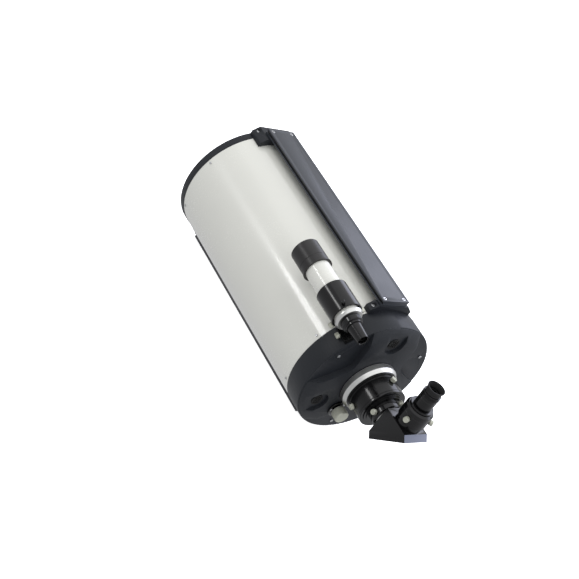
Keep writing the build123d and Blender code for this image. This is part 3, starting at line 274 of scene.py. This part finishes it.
# ---- materials --------------------------------------------------------------------------------------
def add_node(tree, kind, settings=None, links=None):
    """Adds a node, sets its properties or sockets, and links its sockets to other nodes' outputs."""
    node = tree.nodes.new(kind)
    for key, value in (settings or {}).items():
        if isinstance(key, int) or key in node.inputs:
            node.inputs[key].default_value = value
        else:
            setattr(node, key, value)
    for key, source in (links or {}).items():
        tree.links.new(source, node.inputs[key])
    return node


def surface(name, shader):
    """New material with one Principled shader: gives the material, its tree, the shader and coordinates."""
    material = bpy.data.materials.new(name)
    material.use_nodes = True
    tree = material.node_tree
    tree.nodes.clear()
    bsdf = add_node(tree, "ShaderNodeBsdfPrincipled", shader)
    add_node(tree, "ShaderNodeOutputMaterial", links={"Surface": bsdf.outputs["BSDF"]})
    coords = add_node(tree, "ShaderNodeTexCoord").outputs["Object"]
    return material, tree, bsdf, coords


def grained(name, tone, rough, grain, bump, stretch=(1, 1, 1), shade=0.06, handling=60, **shader):
    """Material with a real grain, in millimetres, worn slightly unevenly over a larger distance.

    tone is the base colour, rough the lowest and highest roughness, bump the grain's height in millimetres,
    stretch how the grain is drawn out along each axis, shade how far the tone wanders.
    """
    settings = {"Metallic": shader.pop("metallic", 0.0)}
    settings.update({key.replace("_", " "): value for key, value in shader.items()})
    material, tree, bsdf, coords = surface(name, settings)
    fine_map = add_node(
        tree, "ShaderNodeMapping", {"Scale": [1 / (grain * MM * s) for s in stretch]}, {"Vector": coords}
    )
    fine = add_node(
        tree,
        "ShaderNodeTexNoise",
        {"Scale": 1.0, "Detail": 2.0, "Roughness": 0.55},
        {"Vector": fine_map.outputs[0]},
    )
    broad = add_node(
        tree,
        "ShaderNodeTexNoise",
        {"Scale": 1 / (handling * MM), "Detail": 4.0, "Roughness": 0.6},
        {"Vector": coords},
    )
    tones = add_node(tree, "ShaderNodeValToRGB", links={"Fac": broad.outputs["Fac"]})
    tones.color_ramp.elements[0].position = 0.3
    tones.color_ramp.elements[1].position = 0.7
    tones.color_ramp.elements[0].color = (*[c * (1 - shade) for c in tone[:3]], 1)
    tones.color_ramp.elements[1].color = (*[min(1, c * (1 + shade)) for c in tone[:3]], 1)
    tree.links.new(tones.outputs["Color"], bsdf.inputs["Base Color"])
    both = add_node(
        tree, "ShaderNodeMath", {"operation": "ADD"}, {0: fine.outputs["Fac"], 1: broad.outputs["Fac"]}
    )
    wear = add_node(
        tree,
        "ShaderNodeMapRange",
        {"From Min": 0.6, "From Max": 1.4, "To Min": rough[0], "To Max": rough[1]},
        {"Value": both.outputs[0]},
    )
    tree.links.new(wear.outputs[0], bsdf.inputs["Roughness"])
    relief = add_node(
        tree, "ShaderNodeBump", {"Strength": 0.6, "Distance": bump * MM}, {"Height": fine.outputs["Fac"]}
    )
    tree.links.new(relief.outputs["Normal"], bsdf.inputs["Normal"])
    return material


MATERIALS = {}
RINGS_Y = (40, 1, 40)
RINGS_Z = (40, 40, 1)
DRAWN_Y = (1, 60, 1)


def make_materials():
    """All finishes, named for what they are and how their surfaces were made, with painted shade and a
    painted reflection among them.
    """
    tints = bpy.context.scene.telescope_colours
    # Baked enamel on sheet aluminium: flows nearly level, so the gloss carries a faint orange peel.
    MATERIALS["enamel"] = grained(
        "enamel_baked_on_aluminium", tints.enamel, (0.2, 0.3), 3.0, 0.012, shade=0.02, handling=220,
        Coat_Weight=0.6, Coat_Roughness=0.08,
    )
    # Satin paint over a die casting: small even texture that spreads the light.
    MATERIALS["casting"] = grained(
        "satin_paint_on_die_cast_aluminium", tints.casting, (0.4, 0.52), 1.1, 0.05, shade=0.08, handling=45,
        Specular_IOR_Level=0.3,
    )
    # Extruded aluminium, bead blasted and anodised: matt sheen, with die lines along the rail.
    MATERIALS["extrusion"] = grained(
        "anodised_extruded_aluminium", tints.extrusion, (0.36, 0.5), 0.9, 0.02, DRAWN_Y, 0.05, 90
    )
    # Turned, dyed and sealed anodising: deep black, with the lathe's fine rings in its highlights.
    for key, stretch in (("black", RINGS_Y), ("black_z", RINGS_Z), ("black_milled", (1, 1, 1))):
        MATERIALS[key] = grained(
            "black_anodised_aluminium_" + {"black": "turned_y", "black_z": "turned_z"}.get(key, "milled"),
            tints.black, (0.14, 0.24), 0.7, 0.012, stretch, 0.15, 30,
            Specular_IOR_Level=0.3, Coat_Weight=0.2, Coat_Roughness=0.08,
        )
    # Bead-blasted black anodising of the finder's hood: the same dye on a matt surface; on the rails'
    # undercut flanks it is painted shade.
    MATERIALS["black_satin"] = grained(
        "black_anodised_blasted_and_painted_shade", linear("1d1b1b"), (0.3, 0.42), 0.8, 0.02, (1, 1, 1), 0.1, 40
    )
    # Machined and clear-anodised aluminium: bright metal with turning rings.
    MATERIALS["silver"] = grained(
        "clear_anodised_aluminium_turned", tints.silver, (0.28, 0.4), 0.6, 0.015, RINGS_Y, 0.04, 25,
        metallic=1.0,
    )
    # Clear-anodised aluminium knob, bead blasted: the same metal with a grey, spread sheen.
    MATERIALS["blasted"] = grained(
        "clear_anodised_aluminium_blasted", linear("c2c3b5"), (0.45, 0.6), 0.7, 0.03, (1, 1, 1), 0.06, 20,
        metallic=0.6,
    )
    # Painted reflection: a pale bluish tint, with a soft sheen, that stands for the light panel's reflection
    # on the black anodised cover.
    MATERIALS["lavender"] = grained(
        "painted_reflection_on_black_anodising", tints.lavender, (0.34, 0.46), 0.8, 0.02, (1, 1, 1), 0.05, 40
    )
    # Stainless screws, rolled and polished.
    MATERIALS["steel"] = grained(
        "stainless_steel_polished", tints.steel, (0.18, 0.3), 0.8, 0.01, (1, 1, 1), 0.03, 12, metallic=1.0
    )
    # Black oxide screws: thin conversion layer on steel, slightly oily.
    MATERIALS["oxide"] = grained(
        "black_oxide_steel", linear("1a1a1b"), (0.3, 0.42), 0.6, 0.01, (1, 1, 1), 0.1, 12, metallic=0.6
    )
    # Moulded rubber: matt with a fine sparked texture.
    MATERIALS["rubber"] = grained("rubber_moulded", tints.rubber, (0.6, 0.75), 0.8, 0.04, (1, 1, 1), 0.12, 15)
    # Brass bar, turned.
    MATERIALS["brass"] = grained(
        "brass_turned", tints.brass, (0.22, 0.34), 0.6, 0.01, RINGS_Y, 0.05, 15, metallic=1.0
    )
    # Hard chrome on the eyepiece barrel.
    MATERIALS["chrome"] = grained(
        "chrome_plated_brass", linear("dcdde0"), (0.05, 0.12), 0.6, 0.004, RINGS_Z, 0.02, 20, metallic=1.0
    )
    # Flat black baffle paint: soaks up stray light.
    MATERIALS["flat"] = grained("baffle_paint_sprayed", linear("0d0d0d"), (0.75, 0.9), 1.0, 0.06, shade=0.15)
    # Aluminised and overcoated glass: a clean mirror, with the faint unevenness of dust.
    MATERIALS["mirror"] = grained(
        "aluminised_glass_polished", linear("eef0f2"), (0.015, 0.04), 2.0, 0.0002, shade=0.01, handling=50,
        metallic=1.0,
    )
    # Coated optical glass: clear, with a pale violet tint in its reflection.
    glass, tree, bsdf, coords = surface(
        "coated_optical_glass_polished",
        {
            "Transmission Weight": 1.0,
            "IOR": 1.52,
            "Coat Weight": 0.2,
            "Coat Roughness": 0.02,
            "Coat Tint": linear("ece8fb"),
        },
    )
    dust = add_node(tree, "ShaderNodeTexNoise", {"Scale": 1 / (8 * MM), "Detail": 5.0}, {"Vector": coords})
    film = add_node(
        tree, "ShaderNodeMapRange", {"To Min": 0.0, "To Max": 0.05}, {"Value": dust.outputs["Fac"]}
    )
    tree.links.new(film.outputs[0], bsdf.inputs["Roughness"])
    tint = add_node(tree, "ShaderNodeValToRGB", links={"Fac": dust.outputs["Fac"]})
    tint.color_ramp.elements[0].color = linear("f2fbf7")
    tint.color_ramp.elements[1].color = linear("fbfdff")
    tree.links.new(tint.outputs["Color"], bsdf.inputs["Base Color"])
    MATERIALS["glass"] = glass
    # Opal acrylic sheet of a light table: an even white from within, with a matt top.
    MATERIALS["opal"] = grained(
        "opal_acrylic_sheet_backlit", tints.floor, (0.85, 0.95), 2.5, 0.02, shade=0.004, handling=400,
        Emission_Color=tints.floor, Emission_Strength=0.85,
    )


# ---- profiles: (radius, place along the axis) -------------------------------------------------------
THUMBSCREW = (
    (2.5, 0), (3.7, 0), (3.7, 1.2), (5.9, 1.2), (6.5, 1.8), (6.5, 8.4), (5.8, 9.2), (4.9, 9.2), (4.5, 8.8),
    (0, 8.8),
)
FRONT_CELL = (
    (152.2, -289), (156, -289), (157.8, -288.3), (158.5, -286.5), (158.5, -269), (155.3, -269), (155.3, -245),
    (150.3, -245), (150.3, -269), (140, -269), (140, -276), (146.2, -276), (146.2, -281), (152.2, -281),
)
RETAINER = ((141, -284), (152, -284), (152, -281), (141, -281))
CORRECTOR = ((36, -281), (146, -281), (146, -276), (36, -276))
SECONDARY_HOUSING = (
    (31.5, -296), (35.8, -296), (35.8, -285.5), (47.5, -285.5), (47.5, -281), (35.8, -281), (35.8, -262),
    (31.5, -262),
)
SECONDARY_RING = (
    (28.5, -298), (41.6, -298), (43, -296.6), (43, -288.3), (42.4, -287.5), (35.85, -287.5), (35.85, -296.2),
    (28.5, -296.2),
)
BAFFLE = ((26, 62), (29, 62), (29, 366), (36, 366), (36, 371), (26, 371))
ADAPTER_RING = (
    (41.85, 367), (64.8, 367), (65.6, 367.8), (65.6, 379.2), (64.6, 380), (61.3, 387.3), (61, 388),
    (41.4, 388), (41.4, 379.2), (41.85, 379.2),
)
ADAPTER_BODY = (
    (34, 379.4), (41.2, 379.4), (41.2, 388), (60, 388), (60, 390.4), (59.4, 391), (55, 391), (55, 393.4),
    (54.3, 393.9), (54.3, 394.9), (55, 395.4), (55, 431.8), (54.3, 432.3), (54.3, 433.3), (55, 433.8),
    (55, 437.5), (54, 438.5), (45, 438.5), (45, 395.5), (34, 395.5),
)
COLLAR = (
    (34, 400.5), (44.94, 400.5), (44.94, 438.56), (47, 438.56), (47, 440.7), (41.3, 440.7), (41.3, 442.9),
    (34.2, 442.9), (34.2, 445.2), (33.6, 445.7), (33.6, 446.5), (34.2, 447), (34.2, 458.5), (31.7, 461),
    (25.46, 461), (25.46, 434.1), (34, 434.1),
)
NOSEPIECE = (
    (22.5, 424.2), (24.6, 424.2), (25.4, 425), (25.4, 461.2), (29, 461.2), (29, 466.7), (22.5, 466.7),
)
HOLDER = (
    (25.46, 222), (29.5, 222), (29.5, 234), (31.5, 234), (32.5, 235), (32.5, 257), (31.9, 257.5),
    (31.9, 258.5), (32.5, 259), (32.5, 268), (28.5, 272), (25.46, 272),
)
REDUCER = ((15.94, 242), (25.4, 242), (25.4, 272), (26.6, 272), (26.6, 277), (15.94, 277))
BARREL = ((13.6, 251.2), (15.875, 251.2), (15.875, 277.2), (13.6, 277.2))


def grooves(radius, start, end, count, depth):
    """Points of a row of square grooves round a turned piece, from start to end."""
    pitch = (end - start) / count
    points = []
    for n in range(count):
        low = start + pitch * n
        points += [
            (radius, low), (radius, low + pitch * 0.5), (radius - depth, low + pitch * 0.6),
            (radius - depth, low + pitch * 0.9),
        ]
    return points + [(radius, end)]


EYEPIECE_BODY = (
    (14, 277.2), (19.2, 277.2), (20.2, 278.2), (20.2, 299.4), (19.6, 300), (19.6, 301), (20.2, 301.6),
    (20.2, 307.2), *grooves(20.8, 307.2, 315.6, 4, 0.8), (20.2, 316.2), (15.4, 316.2), (15.4, 318.7),
    (9.5, 318.7), (9.5, 316.2), (14, 316.2),
)
EYECUP = (
    (15.45, 316.2), (17.6, 316.2), (17.6, 317.6), (17, 318.4), (17, 319.4), (17.6, 320.2), (17.6, 321.6),
    (18.6, 325), (20.2, 329.6), (20.6, 331.2), (18.6, 331.2), (17.6, 328), (15.9, 323), (15.45, 320.9),
)
FINDER_TUBE = ((26.5, 186), (28, 186), (28, 334), (26.5, 334))
DEW_SHIELD = (
    (30.5, 137), (32, 137), (32, 178), (31.4, 178.5), (31.4, 179.7), (32, 180.2), (32, 195), (33.3, 195),
    (33.3, 198), (28.05, 198), (28.05, 195), (30.5, 195), (30.5, 176), (26.2, 176), (26.2, 167), (30.5, 167),
)
FINDER_RING = (
    (15.56, 318), (26.3, 318), (26.3, 334), (30.5, 334), (31.1, 334.6), (31.1, 338), (30.6, 338.6),
    (27.8, 343), (15.56, 343),
)
FINDER_EYEPIECE = (
    (10, 327.4), (15.5, 327.4), (15.5, 343.4), (21.7, 343.4), (22.5, 344.2), (22.5, 355), (21.7, 356),
    (18.4, 357.2), (18.4, 361.4), (15.5, 361.4), (13, 399.4), (11, 399.4), (10, 398.2),
)
BRACKET_TUBE = ((31.5, 260), (33.9, 260), (34.7, 260.8), (34.7, 329.2), (33.9, 330), (31.5, 330))
SPRING_PIN = ((0, -6.6), (4.5, -6.6), (4.5, 8), (3.5, 9), (0, 9))
KNOB_PROFILE = (
    (0, 388.4), (6.55, 388.4), (6.55, 372.4), (15.4, 372.4), (16.5, 373.5), (16.5, 390.4), (16.1, 392.4),
    (15, 393.8), (13.2, 394.4), (12.4, 394.4), (11.8, 393.8), (0, 393.8),
)


def lens(radius, low, high, crown):
    """Profile of a lens whose two faces bulge by crown within the thickness from low to high."""
    steps = 8
    rise = [(radius * n / steps, crown * (1 - (n / steps) ** 2)) for n in range(steps + 1)]
    bottom = [(r, low + crown - d) for r, d in rise]
    top = [(r, high - crown + d) for r, d in reversed(rise)]
    return bottom + top


def primary_profile():
    """Profile of the primary mirror: a spherical face round its centre hole, and a flat back."""
    curve, edge, hole, front, back, steps = 1120, 141, 38, 268, 292, 24
    centre = front + curve - sqrt(curve**2 - edge**2)
    radii = [hole + (edge - hole) * n / steps for n in range(steps + 1)]
    face = [(r, centre - curve + sqrt(curve**2 - r**2)) for r in radii]
    return [*face, (edge, back), (hole, back)]


# ---- stage: places in metres, the camera's axes as rows: right, up and back -------------------------
FLOOR_GAP = 0.0005
PANEL_PLACE = (-1.7, 0.2, 1.35)
BRIGHT_WAY = (-0.5, 0.1, 0.86)
CAMERA_LENS = 79.3
CAMERA_PLACE = (1.9190, 1.6695, 1.6806)
CAMERA_AXES = ((-0.7594, 0.4367, 0.4823), (0.0388, -0.7097, 0.7035), (0.6495, 0.5530, 0.5220))


# ---- operators: one for each group of like pieces ---------------------------------------------------
class TELESCOPE_OT_tube(bpy.types.Operator):
    """Rolled tube with its enamel"""

    bl_idname = "telescope.tube"
    bl_label = "Optical Tube"

    def execute(self, context):
        sizes = context.scene.telescope_sizes
        outer = sizes.tube_radius / MM
        inner = outer - sizes.tube_wall / MM
        tube = ((inner, -269), (outer, -269), (outer, 299.5), (inner, 299.5))
        turned("optical_tube", tube, OPTICAL, MATERIALS["enamel"], edge=0.3, steps=256)
        return {"FINISHED"}


class TELESCOPE_OT_cells(bpy.types.Operator):
    """Cast front cell and rear cell, with the vents in the rear one"""

    bl_idname = "telescope.cells"
    bl_label = "Front and Rear Cells"

    def execute(self, context):
        sizes = context.scene.telescope_sizes
        scale = sizes.cell_radius / MM / max(r for r, _ in FRONT_CELL)
        front = [(r * scale, y) for r, y in FRONT_CELL]
        turned("front_cell", front, OPTICAL, MATERIALS["casting"], edge=0.6, steps=256)
        rounded_copy("rear_cell", MATERIALS["casting"], sizes.cast_edge / MM, steps=3)
        rounded_copy("vent_screens", MATERIALS["flat"], 0.25, steps=1)
        rounded_copy("focus_plate", MATERIALS["black_milled"], 0.5)
        return {"FINISHED"}


class TELESCOPE_OT_front_optics(bpy.types.Operator):
    """Corrector plate, its retainer and the secondary mirror in the middle of it"""

    bl_idname = "telescope.front_optics"
    bl_label = "Corrector and Secondary"

    def execute(self, context):
        turned("corrector_plate", CORRECTOR, OPTICAL, MATERIALS["glass"], edge=0.3)
        turned("corrector_retainer", RETAINER, OPTICAL, MATERIALS["flat"])
        turned("secondary_housing", SECONDARY_HOUSING, OPTICAL, MATERIALS["black"])
        turned("secondary_ring", SECONDARY_RING, OPTICAL, MATERIALS["black"], 0.2, (-296.7, -288.2, 0.5))
        rounded_copy("secondary_cell", MATERIALS["black_milled"], 0.4)
        rounded_copy("secondary_shield", MATERIALS["flat"], 0.3)
        rounded_copy("secondary_mirror", MATERIALS["mirror"], 0.3)
        return {"FINISHED"}


class TELESCOPE_OT_primary(bpy.types.Operator):
    """Primary mirror, its baffle tube and the focusing parts behind it"""

    bl_idname = "telescope.primary"
    bl_label = "Primary Mirror and Focuser"

    def execute(self, context):
        turned("primary_mirror", primary_profile(), OPTICAL, MATERIALS["mirror"], edge=0.6)
        turned("primary_baffle", BAFFLE, OPTICAL, MATERIALS["flat"])
        turned("focus_knob", KNOB_PROFILE, KNOB, MATERIALS["blasted"], 0.3, (373.4, 390.5, 0.35))
        paint(MATERIALS["brass"], "focus_spindle")
        paint(MATERIALS["silver"], "mirror_carrier", "mirror_lock_ring")
        paint(MATERIALS["steel"], "focus_rod", "focus_bearing")
        return {"FINISHED"}


class TELESCOPE_OT_rails(bpy.types.Operator):
    """Dovetail rails and the blocks that hold them to the cells"""

    bl_idname = "telescope.rails"
    bl_label = "Dovetail Rails"

    def execute(self, context):
        for rail in ("upper_rail", "lower_rail"):
            piece = rounded_copy(rail, MATERIALS["extrusion"], 0.6)
            # Painted shade: the slanted undercut flanks get the black material that stands for the shadow in
            # the undercut.
            tint_faces(piece, MATERIALS["black_satin"], lambda normal: 0.3 < abs(normal.z) < 0.9)
        rounded_copy("saddle_blocks", MATERIALS["casting"], 0.9)
        return {"FINISHED"}


class TELESCOPE_OT_adapter(bpy.types.Operator):
    """Rear adapter with its knurled ring, and the collar that holds the diagonal"""

    bl_idname = "telescope.adapter"
    bl_label = "Rear Adapter"

    def execute(self, context):
        turned("adapter_ring", ADAPTER_RING, OPTICAL, MATERIALS["silver"], 0.3, (367.7, 379.3, 0.5))
        turned("adapter_body", ADAPTER_BODY, OPTICAL, MATERIALS["black"], 0.3)
        turned("collar", COLLAR, OPTICAL, MATERIALS["black"], 0.3)
        return {"FINISHED"}


class TELESCOPE_OT_thumbscrews(bpy.types.Operator):
    """Knurled thumbscrews of the adapter, collar, eyepiece holder, finder and shoe"""

    bl_idname = "telescope.thumbscrews"
    bl_label = "Thumbscrews"

    def execute(self, context):
        centre = (FINDER_X, FINDER_Z)
        across, up = finder_ways()
        seat = Vector((0, SHOE_SCREW_Y, AXIS_HEIGHT)) + across * SHOE_SCREW_SIDE + up * SHOE_SCREW_HEIGHT

        def collar(clock):
            return outward(clock, COLLAR_SCREWS_R, COLLAR_SCREWS_Y)

        def finder(clock):
            return outward(clock, FINDER_SCREWS_R, FINDER_SCREWS_Y, centre)

        def holder(clock):
            way = Vector((cos(radians(clock)), sin(radians(clock)), 0))
            return facing(Vector((0, EYE_Y, HOLDER_SCREWS_Z)) + way * HOLDER_SCREWS_R, way)

        # Each row of screws: where its screws stand, and how far their threads reach inwards.
        places = {
            "adapter_screws": ([outward(c, ADAPTER_SCREWS_R, ADAPTER_SCREWS_Y) for c in (-8, 115, -128)], 10),
            "collar_thumbscrew_1": ([collar(81)], 8.8),
            "collar_thumbscrew_2": ([collar(-39)], 8.8),
            "holder_thumbscrew_1": ([holder(20)], 7.1),
            "holder_thumbscrew_2": ([holder(140)], 7.1),
            "finder_adjuster_1": ([finder(162)], 6.7),
            "finder_adjuster_2": ([finder(-78)], 6.7),
            "shoe_thumbscrew": ([facing(seat, across)], 6),
        }
        for name, (seats, reach) in places.items():
            profile = ((0, -reach), (2.1, -reach), (2.5, -reach + 0.4), *THUMBSCREW)
            bm = bmesh.new()
            for place in seats:
                turn(bm, profile, place, SCREW_STEPS, (1.7, 8.5, 0.4))
            finished(bm, "look_" + name, MATERIALS["blasted"], 0.12 * MM, steps=2)
        pin = outward(FINDER_CLOCK, SPRING_PIN_R, FINDER_SCREWS_Y, centre)
        turned("finder_spring_pin", SPRING_PIN, pin, MATERIALS["black"], 0.3, steps=48)
        return {"FINISHED"}


class TELESCOPE_OT_diagonal(bpy.types.Operator):
    """Star diagonal: nosepiece, prism-shaped body, mirror cover and mirror"""

    bl_idname = "telescope.diagonal"
    bl_label = "Star Diagonal"

    def execute(self, context):
        turned("diagonal_nosepiece", NOSEPIECE, OPTICAL, MATERIALS["silver"])
        rounded_copy("diagonal_body", MATERIALS["black_milled"], 0.7)
        base = rounded_copy("diagonal_base", MATERIALS["black_milled"], 0.8)
        # Painted reflection: faces looking back along +Y get the pale tint that stands for the panel's sheen
        # on the black cover.
        tint_faces(base, MATERIALS["lavender"], lambda normal: normal.y > 0.5 and abs(normal.x) < 0.2)
        paint(MATERIALS["mirror"], "diagonal_mirror")
        return {"FINISHED"}


class TELESCOPE_OT_eyepiece(bpy.types.Operator):
    """Eyepiece holder, reducer, and the eyepiece with its rubber cup"""

    bl_idname = "telescope.eyepiece"
    bl_label = "Eyepiece"

    def execute(self, context):
        turned("eyepiece_holder", HOLDER, EYE, MATERIALS["black_z"], 0.3)
        turned("eyepiece_reducer", REDUCER, EYE, MATERIALS["black_z"], 0.4)
        turned("eyepiece_barrel", BARREL, EYE, MATERIALS["chrome"], 0.3, steps=96)
        turned("eyepiece_body", EYEPIECE_BODY, EYE, MATERIALS["black_z"], 0.15, steps=96)
        turned("eyecup", EYECUP, EYE, MATERIALS["rubber"], 0.4, steps=96)
        bm = bmesh.new()
        turn(bm, lens(13.94, 311.2, 316.2, 1.0), EYE, 64)
        turn(bm, lens(13.94, 279.7, 283.7, 0.8), EYE, 64)
        finished(bm, "look_eyepiece_lenses", MATERIALS["glass"], 0.1 * MM)
        return {"FINISHED"}


class TELESCOPE_OT_finder(bpy.types.Operator):
    """Finder scope, its bracket and the shoe it slides into"""

    bl_idname = "telescope.finder"
    bl_label = "Finder"

    def bracket(self):
        """Bracket: a tube round the finder, a stem and a dovetail foot."""
        bm = bmesh.new()
        turn(bm, BRACKET_TUBE, FINDER, bpy.context.scene.telescope_sizes.segments)
        across, up = finder_ways()
        # Foot, and the stem in two lengths: corners as (across, up from the axis), start and end along Y.
        bars = (
            (((17, 162.45), (14, 170.45), (-14, 170.45), (-17, 162.45)), 303, 348),
            (((10, 169), (10, 193), (-10, 193), (-10, 169)), 303, 330),
            (((10, 171.1), (10, 193), (-10, 193), (-10, 171.1)), 286, 303),
        )
        for corners, start, end in bars:
            base = Vector((0, start, AXIS_HEIGHT))
            ring = [bm.verts.new((base + across * a + up * r) * MM) for a, r in corners]
            face = bm.faces.new(ring)
            grown = bmesh.ops.extrude_face_region(bm, geom=[face])["geom"]
            fresh = [item for item in grown if isinstance(item, bmesh.types.BMVert)]
            bmesh.ops.translate(bm, verts=fresh, vec=(0, (end - start) * MM, 0))
            whole = {f for v in (*ring, *fresh) for f in v.link_faces}
            bmesh.ops.recalc_face_normals(bm, faces=list(whole))
        keep_corners(bm)
        finished(bm, "look_finder_bracket", MATERIALS["black"], 0.4 * MM)

    def execute(self, context):
        turned("finder_tube", FINDER_TUBE, FINDER, MATERIALS["enamel"], 0.2)
        turned("finder_dew_shield", DEW_SHIELD, FINDER, MATERIALS["black_satin"], 0.25)
        turned("finder_objective", lens(26, 167, 176, 2.0), FINDER, MATERIALS["glass"], 0.2, steps=96)
        turned("finder_rear_ring", FINDER_RING, FINDER, MATERIALS["silver"], 0.25, (334.5, 338.1, 0.4))
        turned("finder_eyepiece", FINDER_EYEPIECE, FINDER, MATERIALS["black"], 0.3, (344.1, 355.1, 0.45))
        turned("finder_eye_lens", lens(10, 385.4, 389.4, 1.0), FINDER, MATERIALS["glass"], 0.1, steps=64)
        self.bracket()
        rounded_copy("finder_shoe", MATERIALS["black_milled"], 0.5)
        paint(MATERIALS["rubber"], "finder_oring")
        return {"FINISHED"}


class TELESCOPE_OT_fasteners(bpy.types.Operator):
    """Socket screws of the tube, cells, rails and diagonal"""

    bl_idname = "telescope.fasteners"
    bl_label = "Socket Screws"

    def execute(self, context):
        for node in ("rail_screws", "rear_cell_screws", "tube_screws"):
            rounded_copy(node, MATERIALS["steel"], 0.15, steps=1)
        for node in ("retainer_screws", "collimation_screws", "diagonal_screws"):
            rounded_copy(node, MATERIALS["oxide"], 0.15, steps=1)
        return {"FINISHED"}


class TELESCOPE_OT_stage(bpy.types.Operator):
    """Light table, soft studio light and the camera"""

    bl_idname = "telescope.stage"
    bl_label = "Stage"

    floor_size: FloatProperty(
        name="Floor size", description="Side of the light table", default=24.0, unit="LENGTH"
    )

    def lamp(self, name, kind, towards, strength, place=(0, 0, 0), **settings):
        """Light of a kind that shines from a direction."""
        data = bpy.data.lights.new(name, kind)
        data.energy = strength
        for key, value in settings.items():
            setattr(data, key, value)
        light = bpy.data.objects.new(name, data)
        light.rotation_euler = Vector(towards).to_track_quat("Z", "Y").to_euler()
        light.location = place
        bpy.context.scene.collection.objects.link(light)

    def execute(self, context):
        bm = bmesh.new()
        bmesh.ops.create_grid(bm, x_segments=1, y_segments=1, size=self.floor_size / 2)
        bmesh.ops.translate(bm, verts=bm.verts, vec=(0, 0, -FLOOR_GAP))
        mesh = bpy.data.meshes.new("floor")
        bm.to_mesh(mesh)
        bm.free()
        mesh.materials.append(MATERIALS["opal"])
        floor = bpy.data.objects.new("floor", mesh)
        context.scene.collection.objects.link(floor)
        floor.visible_diffuse = False
        floor.visible_glossy = False

        self.lamp("overhead", "SUN", (-0.2, 0.15, 0.95), 1.0, angle=radians(120))
        self.lamp(
            "panel", "AREA", (-1.7, 0.05, 1.15), 26, PANEL_PLACE,
            shape="RECTANGLE", size=3.2, size_y=1.2, color=linear("e4e8ff")[:3],
        )
        self.lamp("streak", "SUN", (0.80, -0.50, 0.33), 0.25, angle=radians(10))
        world = bpy.data.worlds.new("studio")
        world.use_nodes = True
        tree = world.node_tree
        ways = add_node(tree, "ShaderNodeTexCoord")
        facing_light = add_node(
            tree,
            "ShaderNodeVectorMath",
            {"operation": "DOT_PRODUCT", 1: BRIGHT_WAY},
            {0: ways.outputs["Generated"]},
        )
        level = add_node(
            tree,
            "ShaderNodeMapRange",
            {"From Min": -0.5, "From Max": 0.8, "To Min": 0.58, "To Max": 0.86},
            {"Value": facing_light.outputs["Value"]},
        )
        tree.links.new(level.outputs[0], tree.nodes["Background"].inputs["Strength"])
        tree.nodes["Background"].inputs["Color"].default_value = linear("fbfcff")
        context.scene.world = world
        context.scene.view_settings.view_transform = "Standard"

        data = bpy.data.cameras.new("camera")
        data.lens = CAMERA_LENS
        data.sensor_width = 36.0
        camera = bpy.data.objects.new("camera", data)
        camera.matrix_world = Matrix.Translation(CAMERA_PLACE) @ Matrix(CAMERA_AXES).transposed().to_4x4()
        context.scene.collection.objects.link(camera)
        context.scene.camera = camera
        return {"FINISHED"}


OPERATORS = (
    TELESCOPE_OT_stage,
    TELESCOPE_OT_tube,
    TELESCOPE_OT_cells,
    TELESCOPE_OT_front_optics,
    TELESCOPE_OT_primary,
    TELESCOPE_OT_rails,
    TELESCOPE_OT_adapter,
    TELESCOPE_OT_thumbscrews,
    TELESCOPE_OT_diagonal,
    TELESCOPE_OT_eyepiece,
    TELESCOPE_OT_finder,
    TELESCOPE_OT_fasteners,
)


class TELESCOPE_PT_sidebar(bpy.types.Panel):
    """Lists the pieces, sizes and colours"""

    bl_idname = "TELESCOPE_PT_sidebar"
    bl_label = "Telescope"
    bl_space_type = "VIEW_3D"
    bl_region_type = "UI"
    bl_category = "Telescope"

    def draw(self, context):
        layout = self.layout
        for group in (context.scene.telescope_sizes, context.scene.telescope_colours):
            for name in group.__annotations__:
                layout.prop(group, name)
        for operator in OPERATORS:
            layout.operator(operator.bl_idname)


CLASSES = (TelescopeSizes, TelescopeColours, *OPERATORS, TELESCOPE_PT_sidebar)


def register():
    for item in CLASSES:
        bpy.utils.register_class(item)
    bpy.types.Scene.telescope_sizes = PointerProperty(type=TelescopeSizes)
    bpy.types.Scene.telescope_colours = PointerProperty(type=TelescopeColours)


def unregister():
    del bpy.types.Scene.telescope_colours
    del bpy.types.Scene.telescope_sizes
    for item in reversed(CLASSES):
        bpy.utils.unregister_class(item)


def main():
    """Builds everything in order."""
    register()
    make_materials()
    for operator in OPERATORS:
        group, name = operator.bl_idname.split(".")
        getattr(getattr(bpy.ops, group), name)()
    bpy.context.view_layer.update()


if __name__ == "__main__":
    main()
